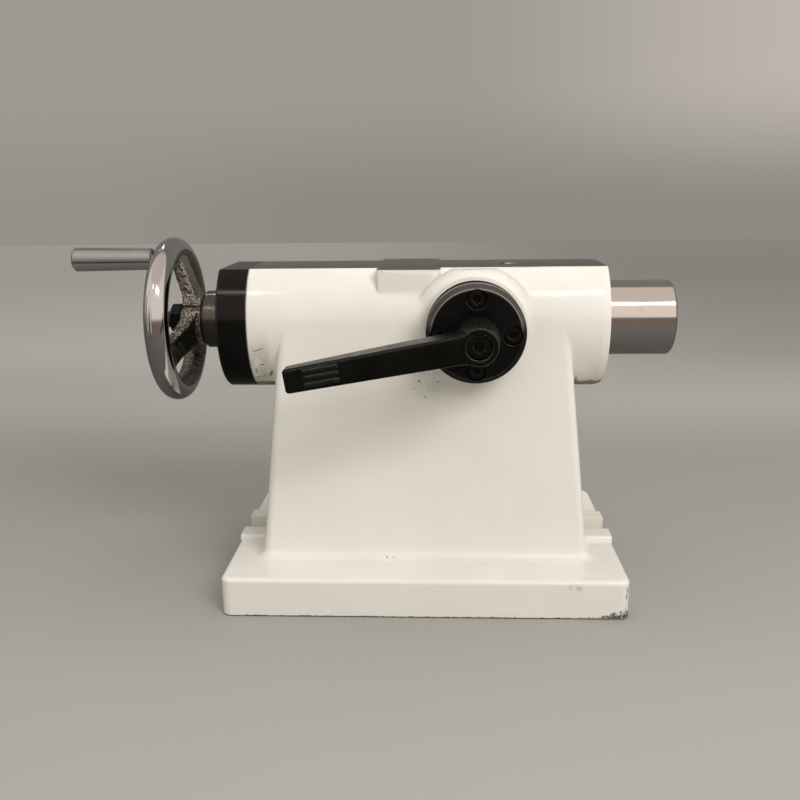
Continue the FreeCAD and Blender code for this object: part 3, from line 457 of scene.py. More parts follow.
def casting_chips_and_shade(g, place, front):
    """1 where the paint is chipped off: base's lower edge and corner, specks and pinholes; and a dark
    stripe of painted shade along the block's left edge.
    """
    x, y, z = g.split(place)
    grain = g.noise(place, 520.0, 4.0, 0.68)
    fine = g.noise(place, 1300.0, 3.0, 0.7)
    near_corner = g.step(g.distance(place, (BASE_HALF - 0.002, BASE_FRONT, 0.001)), 0.019, 0.002)
    to_right = g.step(x, 0.070, 0.086)
    rim_height = g.blend(near_corner, g.blend(to_right, 0.0007, 0.0011), 0.0050)
    uneven = g.times(g.math("SUBTRACT", grain, 0.52), g.times(rim_height, 3.2))
    low_edge = g.step(g.plus(z, uneven), rim_height, g.times(rim_height, 0.6))
    limit = g.blend(near_corner, g.blend(to_right, 0.26, 0.46), 0.42)
    edge = g.times(low_edge, g.step(fine, limit, g.plus(limit, 0.05)))
    corner = g.spot(x, y, (BASE_HALF - 0.0009, BASE_FRONT + 0.0006), 0.0022)
    corner = g.times(corner, g.step(z, 0.021, 0.017))
    upright = g.noise(g.stretched(place, (1.0, 1.0, 0.45)), 900.0, 3.0, 0.7)
    corner_line = g.times(corner, g.step(upright, 0.55, 0.59))
    distance, colour = g.cells(place, 42.0)
    chosen = g.step(g.split(colour)[0], 0.74, 0.76)
    size = g.span(g.split(colour)[1], 0.006, 0.017)
    pinhole = g.times(chosen, g.step(distance, size, g.times(size, 0.6)))
    ragged = g.times(g.math("SUBTRACT", grain, 0.5), 0.0012)
    specks = [g.spot(x, z, centre, radius, ragged) for centre, radius in FRONT_SPECKS]
    above_front = g.times(g.any_of(*specks), g.between(y, -0.060, -0.0415, 0.0005))
    above_front = g.times(above_front, 0.62)
    # painted shade: a dark stripe down the block's left edge, where it steps out from the barrel
    block_step_shade = g.between(x, BLOCK_START - 0.0004, BLOCK_START + 0.0001, 0.0002)
    block_step_shade = g.times(block_step_shade, g.step(z, 0.1795, 0.1900))
    block_step_shade = g.times(g.times(block_step_shade, front), g.step(y, -0.030, -0.032))
    return g.any_of(edge, corner_line, pinhole, above_front, g.times(block_step_shade, 0.85))


def casting_grime_and_shade(g, place, facing, front):
    """Dark marks on the paint: oil and dust mixed with painted shade under the barrel's ends, scratches at
    both ends and gouges at the rear end, a dark joint beside the cap, a stain low on the base, and painted
    shade below the clamp flange.
    """
    x, y, z = g.split(place)
    away = g.math("ABSOLUTE", x)
    near_barrel = g.step(z, BARREL_UNDERSIDE - 0.004, BARREL_UNDERSIDE)
    # painted shade mixed with dirt: faces turned downwards under the barrel's ends, and faces turned partly
    # down at its rear end, are darkened with streaks
    underside = g.times(g.step(facing, -0.74, -0.90), near_barrel)
    rear_share = g.times(g.step(x, -0.086, -0.094), g.step(facing, 0.05, -0.45))
    streaks = g.noise(g.stretched(place, (1.0, 1.0, 0.30)), 170.0, 4.0, 0.7)
    at_ends = g.step(away, 0.070, 0.084)
    ends = g.times(g.most(underside, g.times(rear_share, near_barrel)), at_ends)
    under = g.times(ends, g.step(streaks, 0.34, 0.62))
    scratch = g.noise(g.stretched(place, (0.35, 1.0, 1.0)), 900.0, 2.0, 0.6)
    scratched = g.times(g.times(ends, g.step(scratch, 0.60, 0.66)), 0.8)
    wander = g.times(g.math("SUBTRACT", streaks, 0.5), 0.0006)
    marks = g.any_of(*[g.stroke(x, z, start, end, width, wander) for start, end, width in BARREL_MARKS])
    marks = g.times(g.times(marks, near_barrel), g.step(y, -0.012, -0.016))
    # the lowest strip under the barrel's ends is darker still: painted shade mixed with dirt
    border = g.plus(facing, g.times(g.math("SUBTRACT", streaks, 0.5), 0.16))
    strip = g.times(g.times(g.step(border, -0.830, -0.860), near_barrel), at_ends)
    joint = g.times(g.between(x, BARREL_REAR, BARREL_REAR + 0.0009, 0.0003), g.step(z, 0.115, 0.117))
    stain = g.noise(place, 240.0, 3.0, 0.6)
    low_right = g.times(g.spot(x, z, (0.0855, 0.0205), 0.0055), g.step(stain, 0.48, 0.62))
    # painted shade: a blotchy darker patch on the column's front just below the clamp flange
    cloud = g.times(g.spot(x, z, (0.004, 0.1310), 0.0150), g.times(g.step(stain, 0.35, 0.65), 0.5))
    cloud = g.times(cloud, g.step(y, -0.041, -0.042))
    # a real stain low on the base together with the painted shade below the flange, on front faces only
    stain_and_shade = g.times(g.most(low_right, cloud), g.times(front, 0.30))
    tilted = g.stretched(place, (0.5, 1.0, 1.6))
    gouge = g.step(g.noise(tilted, 330.0, 1.0, 0.5), 0.70, 0.74)
    gouges = g.times(g.times(gouge, g.step(x, -0.088, -0.094)), g.between(z, 0.118, 0.150, 0.006))
    marked = g.most(g.times(marks, 0.9), g.times(strip, 0.92))
    film = g.any_of(g.times(under, 0.40), g.times(scratched, 0.7), g.times(joint, 0.45))
    return g.any_of(film, stain_and_shade, gouges, marked)


def casting_paint():
    """Gloss warm white over cast iron, with bare machined faces, chipped paint, dirt and stains, painted
    shade under the barrel's ends, below the clamp flange and along the block's left edge, and a painted
    highlight along the edges.
    """
    material, g = new_material("casting_paint")
    place = g.place()
    x, y, z = g.split(place)
    true_normal = g.add("ShaderNodeNewGeometry").outputs["Normal"]
    facing = g.split(true_normal)[2]
    front = g.step(g.split(true_normal)[1], -0.35, -0.60)
    ragged = g.noise(place, 420.0, 3.0, 0.65)
    bare = casting_bare_mask(g, place, ragged)
    chips_and_shade = g.times(casting_chips_and_shade(g, place, front), g.inverse(bare))
    # the grime mask also holds painted shade under the barrel's ends and below the clamp flange
    grime_and_shade = casting_grime_and_shade(g, place, facing, front)
    broad = g.noise(place, 14.0, 3.0, 0.55)
    tint = g.mix(g.step(broad, 0.35, 0.68), PAINT, scaled(PAINT, 0.97, 0.963, 0.955))
    smudge = g.group(HANDLING, place, 0.05)[0]
    dust = g.times(g.step(facing, 0.5, 0.9), g.times(smudge, 0.08))
    colour = g.mix(g.plus(grime_and_shade, dust), tint, PAINT_GRIME_AND_SHADE)
    colour = g.mix(chips_and_shade, colour, CHIP_AND_SHADE_DARK)
    rust_border = g.times(g.math("SUBTRACT", ragged, 0.5), 0.004)
    rust = g.times(g.spot(x, y, (BLOCK_START + 0.0025, BLOCK_FRONT + 0.003), 0.0034, rust_border),
                   g.step(z, FLAT_HEIGHT - 0.002, FLAT_HEIGHT - 0.001))
    lines = g.group(MACHINING_LINES, g.stretched(place, (0.03, 1.0, 1.0)), 0.0007)[0]
    stripes = g.noise(g.stretched(place, (0.02, 1.0, 1.0)), 330.0, 2.0)
    dull = g.times(g.step(y, 0.004, -0.009), g.span(smudge, 0.55, 1.0))
    iron = g.mix(dull, BARE_IRON, BARE_IRON_DULL)
    iron = g.mix(g.times(g.step(stripes, 0.56, 0.66), 0.35), iron, IRON_STRIPE)
    colour = g.mix(bare, colour, iron)
    colour = g.mix(rust, colour, RUST)
    skin = g.noise(place, 260.0, 2.0, 0.5)
    swell = g.noise(place, 38.0, 2.0, 0.5)
    near_boss = g.times(g.spot(x, z, (CLAMP_PLACE, AXIS_HEIGHT), 0.070), g.step(y, -0.015, -0.025))
    rounded = g.soft_edges(g.blend(near_boss, 0.0008, 0.0060))
    turn = g.add("ShaderNodeVectorMath", [("operation", "DOT_PRODUCT")])
    g.feed(turn.inputs[0], rounded)
    g.feed(turn.inputs[1], true_normal)
    # painted highlight: the paint is lighter along edges where the rounded normal turns away from the face,
    # except near the clamp boss
    edge_highlight = g.times(g.step(g.inverse(turn.outputs["Value"]), 0.015, 0.10), g.inverse(near_boss))
    edge_highlight = g.times(edge_highlight, g.inverse(g.any_of(bare, chips_and_shade, rust, grime_and_shade)))
    colour = g.mix(g.times(edge_highlight, 0.8), colour, PAINT_EDGE_HIGHLIGHT)
    normal = g.bump(swell, g.blend(bare, 0.0005, 0.0), rounded)
    normal = g.bump(skin, g.blend(bare, 0.00005, 0.0), normal)
    normal = g.bump(lines, g.blend(bare, 0.0, 0.00002), normal)
    normal = g.bump(g.inverse(g.any_of(chips_and_shade, bare, rust)), 0.00012, normal)
    paint_gloss = g.plus(g.span(smudge, 0.09, 0.15), g.times(grime_and_shade, 0.4))
    roughness = g.blend(g.most(chips_and_shade, rust), paint_gloss, 0.75)
    roughness = g.blend(bare, roughness, g.span(lines, 0.30, 0.46))
    g.finish(colour, roughness, g.times(bare, g.inverse(rust)), normal, IOR=1.5)
    return material


# Black parts
def black_metal(name, colour, low_gloss, high_gloss, grain_size, grain_depth, wear, highlight_line=0.0):
    """A black finish on metal: fine grain, handling marks, thin bright wear on the edges,
    and a painted highlight along the upper edge of the side that faces the front."""
    material, g = new_material(name)
    place = g.place()
    height = g.group(CAST_GRAIN, place, grain_size)[0]
    smudge = g.group(HANDLING, place, 0.02)[0]
    worn = g.times(g.group(EDGE_WEAR, place, 0.00040)[0], wear)
    base = g.mix(g.times(smudge, 0.30), colour, scaled(colour, 5.0, 4.6, 4.0))
    base = g.mix(worn, base, WORN_EDGE)
    # painted highlight: a lighter band on the upper edge of front faces, where the rounded normal tips
    # upwards
    tilt = g.split(g.soft_edges(0.0024))[2]
    facing = g.split(g.add("ShaderNodeNewGeometry").outputs["True Normal"])[1]
    broken = g.step(g.noise(place, 420.0, 3.0, 0.7), 0.30, 0.46)
    upper_edge_highlight = g.times(g.times(g.between(tilt, 0.30, 0.42, 0.05), g.step(facing, -0.90, -0.98)), broken)
    base = g.mix(g.times(upper_edge_highlight, highlight_line), base, BLACK_EDGE_HIGHLIGHT)
    roughness = g.blend(worn, g.span(smudge, low_gloss, high_gloss), 0.34)
    normal = g.bump(height, grain_depth, g.soft_edges(0.0004))
    g.finish(base, roughness, g.times(worn, 0.8), normal, Specular_IOR_Level=BLACK_GLOSS)
    return material


def turned_black(name, colour, centre, low_gloss, high_gloss):
    """Black over a turned face: tool lines round the spindle axis or the clamp axis."""
    material, g = new_material(name)
    place = g.place()
    x, y, z = g.split(place)
    along = {"x": x, "y": y}[centre[0]]
    across = {"x": y, "y": x}[centre[0]]
    side = g.math("SUBTRACT", across, centre[1])
    rise = g.math("SUBTRACT", z, AXIS_HEIGHT)
    radius = g.math("SQRT", g.plus(g.times(side, side), g.times(rise, rise)))
    ring = g.add("ShaderNodeCombineXYZ", inputs=[("X", radius), ("Y", along)]).outputs[0]
    lines = g.group(MACHINING_LINES, ring, 0.0004)[0]
    smudge = g.group(HANDLING, place, 0.025)[0]
    worn = g.times(g.group(EDGE_WEAR, place, 0.00045)[0], 0.5)
    dull = 0.0
    base = g.mix(g.times(smudge, 0.4), colour, scaled(colour, 4.0, 3.7, 3.3))
    if centre[0] == "y":
        # painted light on the flange: a brown sheen on the upper half of its conical band, left out further
        # back where it would lie in shadow, and a thin painted highlight where the band starts, also on the
        # upper half
        lit = g.step(g.math("DIVIDE", rise, radius), -0.02, 0.35)
        shadow = g.step(along, flange_low.y + 0.0095, flange_low.y + 0.0115)
        cone_sheen = g.step(radius, CONE_START - 0.0002, CONE_START + 0.0002)
        cone_sheen = g.times(g.times(cone_sheen, lit), g.inverse(shadow))
        highlight_line = g.times(g.between(radius, CONE_START - 0.0001, CONE_START + 0.0004, 0.0001), lit)
        worn = g.times(worn, g.step(radius, CONE_START - 0.004, CONE_START - 0.006))
        dull = g.times(g.step(radius, CONE_START - 0.0004, CONE_START), g.inverse(cone_sheen))
        base = g.mix(cone_sheen, base, CONE_SHEEN)
        base = g.mix(highlight_line, base, CONE_HIGHLIGHT)
    flat_top = g.step(z, FLAT_HEIGHT - 0.0002, FLAT_HEIGHT - 0.0001)
    base = g.mix(g.times(worn, 0.7), base, WORN_EDGE)
    base = g.mix(flat_top, base, CAP_FLAT)
    roughness = g.blend(flat_top, g.span(smudge, low_gloss, high_gloss), g.span(lines, 0.30, 0.46))
    roughness = g.blend(dull, roughness, DULL_BLACK)
    normal = g.bump(lines, 0.000018, g.soft_edges(0.0005))
    g.finish(base, roughness, g.times(worn, 0.6), normal, Specular_IOR_Level=BLACK_GLOSS)
    return material


# Bright parts
def rough_plate(g, place, contrast):
    """Plate over unpolished cast metal: a colour, roughness and normal with bright crests and dark hollows.
    Faces towards the barrel get an even, darker colour, a painted reflection of the dark parts they face,
    lighter on their upper part as a painted highlight, with even roughness and shallower relief."""
    grain = g.group(CAST_GRAIN, place, 0.0012)[0]
    crinkle = g.cells(place, 760.0)[0]
    fine = g.noise(place, 2300.0, 2.0, 0.6)
    relief = g.plus(g.times(grain, 0.55), g.plus(g.times(crinkle, 0.35), g.times(fine, 0.20)))
    # painted reflection: faces turned towards the barrel are coloured darker and more even
    facing = g.split(g.add("ShaderNodeNewGeometry").outputs["True Normal"])[0]
    even = g.most(g.step(facing, 0.35, 0.75), 1.0 - contrast)
    crest = g.step(relief, 0.46, 0.60)
    stained = g.step(g.noise(place, 95.0, 3.0, 0.6), 0.40, 0.64)
    dark = g.mix(stained, PLATED_DARK, PLATED_MIDDLE)
    colour = g.mix(crest, dark, PLATED_CREST)
    dull = g.mix(g.times(crest, 0.30), g.mix(stained, PLATED_MIDDLE, PLATED_DARK), PLATED_CREST)
    height = g.split(place)[2]
    # painted highlight: on those faces the part above the axis is lighter
    lit = g.step(height, AXIS_HEIGHT + 0.002, AXIS_HEIGHT + 0.016)
    dull = g.mix(g.times(lit, 0.75), dull, PLATED_CREST)
    colour = g.mix(even, colour, dull)
    roughness = g.blend(even, g.span(crest, 0.50, 0.20), 0.42)
    return colour, roughness, g.bump(relief, g.blend(even, 0.0013, 0.0006))


def chrome_plate():
    """Polished plate on the rim, left rough and dark where the polishing wheel can't reach."""
    material, g = new_material("chrome_plate")
    place = g.place()
    x, y, z = g.split(place)
    reach = g.reach(y, z, AXIS_HEIGHT)
    lean = g.times(g.math("SUBTRACT", reach, RIM_RADIUS), 1.0 / RIM_TUBE)
    outer = g.times(g.math("SUBTRACT", RIM_PLANE, x), 1.0 / RIM_TUBE)
    border = g.plus(-0.16, g.times(g.most(outer, 0.0), -0.55))
    wander = g.times(g.math("SUBTRACT", g.noise(place, 130.0, 3.0, 0.6), 0.5), 0.42)
    depth = g.math("SUBTRACT", g.plus(border, wander), lean)
    raw = g.step(depth, -0.02, 0.06)
    dark_line = g.between(depth, -0.02, 0.02, 0.015)
    colour, rough, relief = rough_plate(g, place, 0.45)
    smudge = g.group(HANDLING, place, 0.018)[0]
    tarnish = g.step(g.noise(g.stretched(place, (1.0, 0.5, 0.5)), 70.0, 3.0, 0.6), 0.42, 0.70)
    plate = g.mix(g.times(tarnish, 0.30), CHROME, scaled(CHROME, 0.72, 0.70, 0.66))
    colour = g.mix(raw, plate, colour)
    colour = g.mix(g.times(dark_line, 0.8), colour, PLATED_DARK)
    swell = g.noise(g.stretched(place, (1.0, 0.35, 0.35)), 60.0, 2.0, 0.5)
    polished = g.bump(swell, 0.00002)
    node = g.add("ShaderNodeMix", [("data_type", "VECTOR")], [("Factor", raw)])
    g.feed(node.inputs[4], polished)
    g.feed(node.inputs[5], relief)
    roughness = g.blend(raw, g.span(smudge, 0.10, 0.17), rough)
    g.finish(colour, roughness, 1.0, node.outputs[1])
    return material


def plated_casting():
    """Plate over the rough casting of the hub and spokes."""
    material, g = new_material("plated_casting")
    colour, roughness, normal = rough_plate(g, g.place(), 1.0)
    g.finish(colour, roughness, 1.0, normal)
    return material


def turned_steel(name, colour, low_gloss, high_gloss, pitch, depth, painted_reflection=0.0):
    """Bright steel with lines left round its axis by turning or grinding.
    Its last argument sets a painted reflection: dark bands where the steel faces a little downwards, as the
    table's edge would show in it, and near its top, and painted light over the faces turned further down."""
    material, g = new_material(name)
    place = g.place()
    squeezed = g.stretched(place, (1.0, 0.02, 0.02))
    lines = g.group(MACHINING_LINES, squeezed, pitch)[0]
    smudge = g.group(HANDLING, place, 0.022)[0]
    stain = g.step(g.noise(place, 90.0, 4.0, 0.7), 0.58, 0.74)
    base = g.mix(g.times(stain, 0.18), colour, scaled(colour, 0.55, 0.48, 0.40))
    facing = g.split(g.add("ShaderNodeNewGeometry").outputs["Normal"])[2]
    # painted reflection: dark bands and a lighter underside, set by the direction the surface faces
    upper_line = g.between(facing, 0.86, 0.93, 0.02)
    dark_line = g.most(g.between(facing, -0.24, -0.15, 0.03), g.times(upper_line, 0.6))
    base = g.mix(g.times(dark_line, painted_reflection * 0.75), base, BLACK)
    base = g.mix(g.times(g.step(facing, -0.22, -0.34), painted_reflection * 0.6), base, STEEL_REFLECTION_LIGHT)
    roughness = g.plus(g.span(smudge, low_gloss, high_gloss), g.times(lines, 0.04))
    g.finish(base, roughness, 1.0, g.bump(lines, depth, g.soft_edges(0.0003)))
    return material


def screw_steel():
    """Turned steel inside, black on the stud that shows past the wheel's hub."""
    material, g = new_material("screw_steel")
    place = g.place()
    outside = g.step(g.split(place)[0], HUB_END + 0.0002, HUB_END - 0.0002)
    lines = g.group(MACHINING_LINES, g.stretched(place, (1.0, 0.02, 0.02)), 0.0006)[0]
    base = g.mix(outside, BARE_IRON, OXIDE_BLACK)
    roughness = g.blend(outside, g.span(lines, 0.28, 0.40), 0.36)
    g.finish(base, roughness, g.inverse(outside), g.bump(lines, 0.00003, g.soft_edges(0.0003)))
    return material


def oiler_brass():
    """Brass of the oiler, dark with old oil round its rim, with a painted glint on one side."""
    material, g = new_material("oiler_brass")
    place = g.place()
    x, y = g.split(place)[:2]
    # painted glint: a pale bright spot just beside the oiler's centre
    bright = g.spot(x, y, (OILER_PLACE + 0.0018, 0.0), 0.0056, g.times(g.noise(place, 900.0), 0.0006))
    base = g.mix(bright, OILED_BRASS, BRASS_GLINT)
    aside = g.math("SUBTRACT", x, OILER_PLACE)
    away = g.math("SQRT", g.plus(g.times(aside, aside), g.times(y, y)))
    lip = g.step(g.math("ABSOLUTE", g.math("SUBTRACT", away, 0.0036)), 0.0013, 0.0)
    g.finish(base, g.span(bright, 0.45, 0.16), 1.0, g.bump(lip, 0.0012))
    return material


def soft_metal(name, colour, gloss):
    """Bronze and brass: machined, a little dulled."""
    material, g = new_material(name)
    place = g.place()
    lines = g.group(MACHINING_LINES, g.stretched(place, (1.0, 0.05, 0.05)), 0.0003)[0]
    smudge = g.group(HANDLING, place, 0.012)[0]
    base = g.mix(g.times(smudge, 0.5), colour, scaled(colour, 0.55, 0.48, 0.42))
    g.finish(base, g.span(smudge, gloss, gloss + 0.18), 1.0, g.bump(lines, 0.00002))
    return material


def oiled_felt():
    """Pressed felt dark with oil."""
    material, g = new_material("oiled_felt")
    place = g.place()
    fibre = g.noise(g.stretched(place, (1.0, 0.4, 0.4)), 3200.0, 4.0, 0.7)
    base = g.mix(fibre, scaled(FELT, 0.6, 0.6, 0.6), FELT)
    g.finish(base, g.span(fibre, 0.75, 0.92), 0.0, g.bump(fibre, 0.0003), Sheen_Weight=0.3)
    return material


def dress(material, *names):
    """Give a material to CAD nodes."""
    for name in names:
        mesh = nodes[name].data
        mesh.materials.clear()
        mesh.materials.append(material)


# The handwheel: rim, rough hub with spokes, and turned boss
def grid_mesh(name, points, ends_open=False):
    """A mesh over rows and columns of points. Columns close round.
    Rows close too, or get a face at each end."""
    rows, columns = points.shape[:2]
    index = np.arange(rows * columns).reshape(rows, columns)
    below = index[:-1] if ends_open else index
    above = index[1:] if ends_open else np.roll(index, -1, axis=0)
    faces = np.stack([below, np.roll(below, -1, axis=1), np.roll(above, -1, axis=1), above], axis=-1)
    faces = faces.reshape(-1, 4).tolist()
    if ends_open:
        faces += [index[0, ::-1].tolist(), index[-1].tolist()]
    mesh = bpy.data.meshes.new(name)
    mesh.from_pydata(points.reshape(-1, 3).tolist(), [], faces)
    return mesh


def outward(mesh):
    """Turn the faces of closed shells outwards."""
    shell = bmesh.new()
    shell.from_mesh(mesh)
    bmesh.ops.recalc_face_normals(shell, faces=shell.faces)
    shell.to_mesh(mesh)
    shell.free()


def piece_from(mesh, name, sharp=math.radians(32)):
    """A smooth shaded object of a mesh, with edges kept sharp past an angle."""
    outward(mesh)
    mesh.polygons.foreach_set("use_smooth", np.ones(len(mesh.polygons), dtype=bool))
    mesh.set_sharp_from_angle(angle=sharp)
    piece = bpy.data.objects.new(name, mesh)
    bpy.context.scene.collection.objects.link(piece)
    return piece


def applied(piece):
    """Replace a piece's mesh by what its modifiers make of it."""
    graph = bpy.context.evaluated_depsgraph_get()
    mesh = bpy.data.meshes.new_from_object(piece.evaluated_get(graph))
    piece.modifiers.clear()
    piece.data = mesh


def around_spindle(along, radius, turns):
    """A profile carried round the spindle axis: height from cosine and depth from sine of the angle."""
    angle = np.linspace(0.0, 2 * math.pi, turns, endpoint=False)
    along, radius = np.asarray(along)[:, None], np.asarray(radius)[:, None]
    depth = -radius * np.sin(angle)
    height = AXIS_HEIGHT + radius * np.cos(angle)
    return np.stack([along + 0 * angle, depth, height], axis=-1)


def power(value, exponent):
    """A power that keeps the sign."""
    return np.sign(value) * np.abs(value) ** exponent


def waves(points, wavelength, seed, count=28):
    """A smooth uneven field: cosine waves of random direction, length and phase, added up."""
    draw = np.random.default_rng(seed)
    heading = draw.normal(size=(count, 3))
    heading /= np.linalg.norm(heading, axis=1, keepdims=True)
    number = 2 * math.pi / (wavelength * draw.uniform(0.7, 1.6, size=count))
    phase = draw.uniform(0.0, 2 * math.pi, size=count)
    return np.cos(points @ (heading * number[:, None]).T + phase).sum(axis=1) / math.sqrt(count)


def rim_piece():
    """The rim: a ring of round section. Round the handle's foot its outer side is cut flat:
    within the spot's radius of the handle's axis no point lies further out than the spot's face."""
    tube = np.linspace(0.0, 2 * math.pi, 120, endpoint=False)
    points = around_spindle(RIM_PLANE - RIM_TUBE * np.cos(tube), RIM_RADIUS + RIM_TUBE * np.sin(tube), 600)
    aside = points[..., 1:] - np.array([HANDLE_Y, HANDLE_Z])
    away = np.linalg.norm(aside, axis=-1)
    outer = points[..., 0] < RIM_PLANE
    edge = outer & (np.abs(away - SPOT_RADIUS) < 0.00024)
    pulled = np.where(away < SPOT_RADIUS, SPOT_RADIUS - 0.00001, SPOT_RADIUS + 0.00001)
    moved = np.array([HANDLE_Y, HANDLE_Z]) + aside * (pulled / np.maximum(away, 1e-6))[..., None]
    points[..., 1:] = np.where(edge[..., None], moved, points[..., 1:])
    inside = outer & (away < SPOT_RADIUS)
    face = RIM_PLANE - RIM_TUBE + SPOT_DEPTH
    points[..., 0] = np.where(inside, np.maximum(points[..., 0], face), points[..., 0])
    return piece_from(grid_mesh("wheel_rim", points), "wheel_rim")


def along_spoke(ends, share):
    """A value that changes evenly from the spoke's hub end to its rim end."""
    return ends[0] + share * (ends[1] - ends[0])


def spoke_points(angle):
    """One spoke: a rounded oblong section, a superellipse of power 6, carried from hub to rim.
    Width and thickness change evenly, and swell near the hub and the rim by an exponential."""
    share = np.linspace(0.0, 1.0, 40)[:, None]
    turn = np.linspace(0.0, 2 * math.pi, 56, endpoint=False)[None, :]
    radius = SPOKE_START[0] + share * (SPOKE_END[0] - SPOKE_START[0])
    along = SPOKE_START[1] + share * (SPOKE_END[1] - SPOKE_START[1])
    root = np.exp(-(radius - 0.0125) / 0.0038)
    tip = np.exp(-(RIM_RADIUS - RIM_TUBE - radius) / 0.0025)
    width = along_spoke(SPOKE_WIDTH, share) + ROOT_SWELL[0] * root + TIP_SWELL * np.minimum(tip, 2)
    thick = along_spoke(SPOKE_THICKNESS, share) + ROOT_SWELL[1] * root
    across = width / 2 * power(np.cos(turn), 1 / 3)
    depth = thick / 2 * power(np.sin(turn), 1 / 3)
    y = -radius * math.sin(angle) - across * math.cos(angle)
    z = AXIS_HEIGHT + radius * math.cos(angle) - across * math.sin(angle)
    return np.stack([along + depth, y, z], axis=-1)


def spokes_piece():
    """Hub and spokes as one rough casting: a turned hub and three spokes melted together on a fine grid,
    smoothed, then moved along their normals by two sizes of uneven waves. The bore stays round."""
    hub_along = [GROOVE_END, GROOVE_END, GROOVE_END - 0.0006, HUB_END + 0.002, HUB_END, HUB_END]
    hub_radius = [
        SEAT_RADIUS, HUB_RADIUS - 0.0006, HUB_RADIUS, HUB_NOSE_RADIUS + 0.001, HUB_NOSE_RADIUS, SEAT_RADIUS]
    hub = around_spindle(hub_along, hub_radius, 96)
    meshes = [grid_mesh("hub", hub)]
    for step in range(SPOKE_COUNT):
        angle = SPOKE_ANGLE + 2 * math.pi * step / SPOKE_COUNT
        meshes.append(grid_mesh("spoke", spoke_points(angle), ends_open=True))
    joined = bmesh.new()
    for mesh in meshes:
        outward(mesh)
        joined.from_mesh(mesh)
    whole = bpy.data.meshes.new("wheel_spokes")
    joined.to_mesh(whole)
    joined.free()
    piece = bpy.data.objects.new("wheel_spokes", whole)
    bpy.context.scene.collection.objects.link(piece)
    remesh = piece.modifiers.new("melt", "REMESH")
    remesh.mode = "VOXEL"
    remesh.voxel_size = 0.0006
    smooth = piece.modifiers.new("soften", "SMOOTH")
    smooth.factor = 0.5
    smooth.iterations = 4
    applied(piece)
    mesh = piece.data
    points = np.empty(len(mesh.vertices) * 3)
    mesh.vertices.foreach_get("co", points)
    points = points.reshape(-1, 3)
    normals = np.empty(len(mesh.vertices) * 3)
    mesh.vertex_normals.foreach_get("vector", normals)
    lift = 0.00013 * waves(points, 0.0042, 3) + 0.00009 * waves(points, 0.0023, 4)
    points += normals.reshape(-1, 3) * lift[:, None]
    reach = np.linalg.norm(points[:, 1:] - np.array([0.0, AXIS_HEIGHT]), axis=1)
    bore = reach < SEAT_RADIUS + 0.0012
    scale = np.where(bore, (SEAT_RADIUS + SEAT_GAP) / reach, 1.0)
    points[:, 1] *= scale
    points[:, 2] = AXIS_HEIGHT + (points[:, 2] - AXIS_HEIGHT) * scale
    near_hub = reach < HUB_RADIUS + 0.0006
    points[:, 0] = np.where(near_hub, np.clip(points[:, 0], HUB_END, GROOVE_END), points[:, 0])
    mesh.vertices.foreach_set("co", points.ravel())
    mesh.update()
    mesh.polygons.foreach_set("use_smooth", np.ones(len(mesh.polygons), dtype=bool))
    return piece


def boss_piece():
    """The hub's turned collar and the groove behind it, one profile turned round the spindle."""
    floor = BOSS_RADIUS - GROOVE_DEPTH
    tail = GROOVE_END - 0.001
    profile = [
        (HUB_START, SEAT_RADIUS + SEAT_GAP),
        (HUB_START, BOSS_RADIUS - 0.0008),
        (HUB_START - 0.0008, BOSS_RADIUS),
        (BOSS_END + 0.0004, BOSS_RADIUS),
        (BOSS_END, BOSS_RADIUS - 0.0004),
        (BOSS_END, floor),
        (GROOVE_END, floor),
        (tail, floor - 0.0006),
        (tail, SEAT_RADIUS + SEAT_GAP),
    ]
    along, radius = zip(*profile)
    return piece_from(grid_mesh("wheel_boss", around_spindle(along, radius, 160)), "wheel_boss")


def wear_material(piece, material):
    piece.data.materials.clear()
    piece.data.materials.append(material)


wheel_rim = rim_piece()
wheel_spokes = spokes_piece()
wheel_boss = boss_piece()
wear_material(wheel_rim, chrome_plate())
wear_material(wheel_spokes, plated_casting())
wear_material(wheel_boss, turned_steel("boss_steel", BOSS_STEEL, 0.16, 0.26, 0.0005, 0.00002))
for wheel_piece in (wheel_rim, wheel_spokes, wheel_boss):
    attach(wheel_piece, "handwheel")
    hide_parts("handwheel")

dress(casting_paint(), "body_casting")
dress(turned_black("cap_black", CAP_BLACK, ("x", 0.0), 0.11, 0.17), "rear_cap")
dress(turned_black("flange_black", OXIDE_BLACK, ("y", CLAMP_PLACE), 0.24, 0.38),
      "clamp_flange", "clamp_screw")
dress(black_metal("lever_black", COATING_BLACK, 0.24, 0.36, 0.0009, 0.00005, 0.6, 1.0), "clamp_lever")
dress(black_metal("screw_black", OXIDE_BLACK, 0.24, 0.36, 0.0004, 0.00003, 0.25),
      "clamp_flange_screws", "rear_cap_screws", "lever_screw", "wheel_nut", "wheel_washer",
      "guide_screw", "guide_lock_nut", "quill_nut_screws")
dress(turned_steel("handle_steel", HANDLE_CHROME, 0.38, 0.46, 0.0008, 0.000002, 1.0),
      "handle_grip", "handle_spindle")
dress(turned_steel("quill_steel", GROUND_STEEL, 0.06, 0.11, 0.00035, 0.000006), "quill")
dress(screw_steel(), "lead_screw")
dress(turned_steel("plain_steel", BARE_IRON, 0.28, 0.40, 0.0005, 0.00002),
      "wheel_key", "thrust_ring", "oiler_spring")
dress(turned_steel("race_steel", BALL_STEEL, 0.08, 0.16, 0.0003, 0.00001),
      "front_race_fixed", "front_race_turning", "front_ball_set",
      "rear_race_fixed", "rear_race_turning", "rear_ball_set", "oiler_ball")
dress(soft_metal("bronze", BRONZE, 0.30), "cap_bush", "quill_nut")
dress(soft_metal("brass", BRASS, 0.26), "clamp_pad")
dress(oiler_brass(), "oiler_body")
dress(oiled_felt(), "nose_wiper")


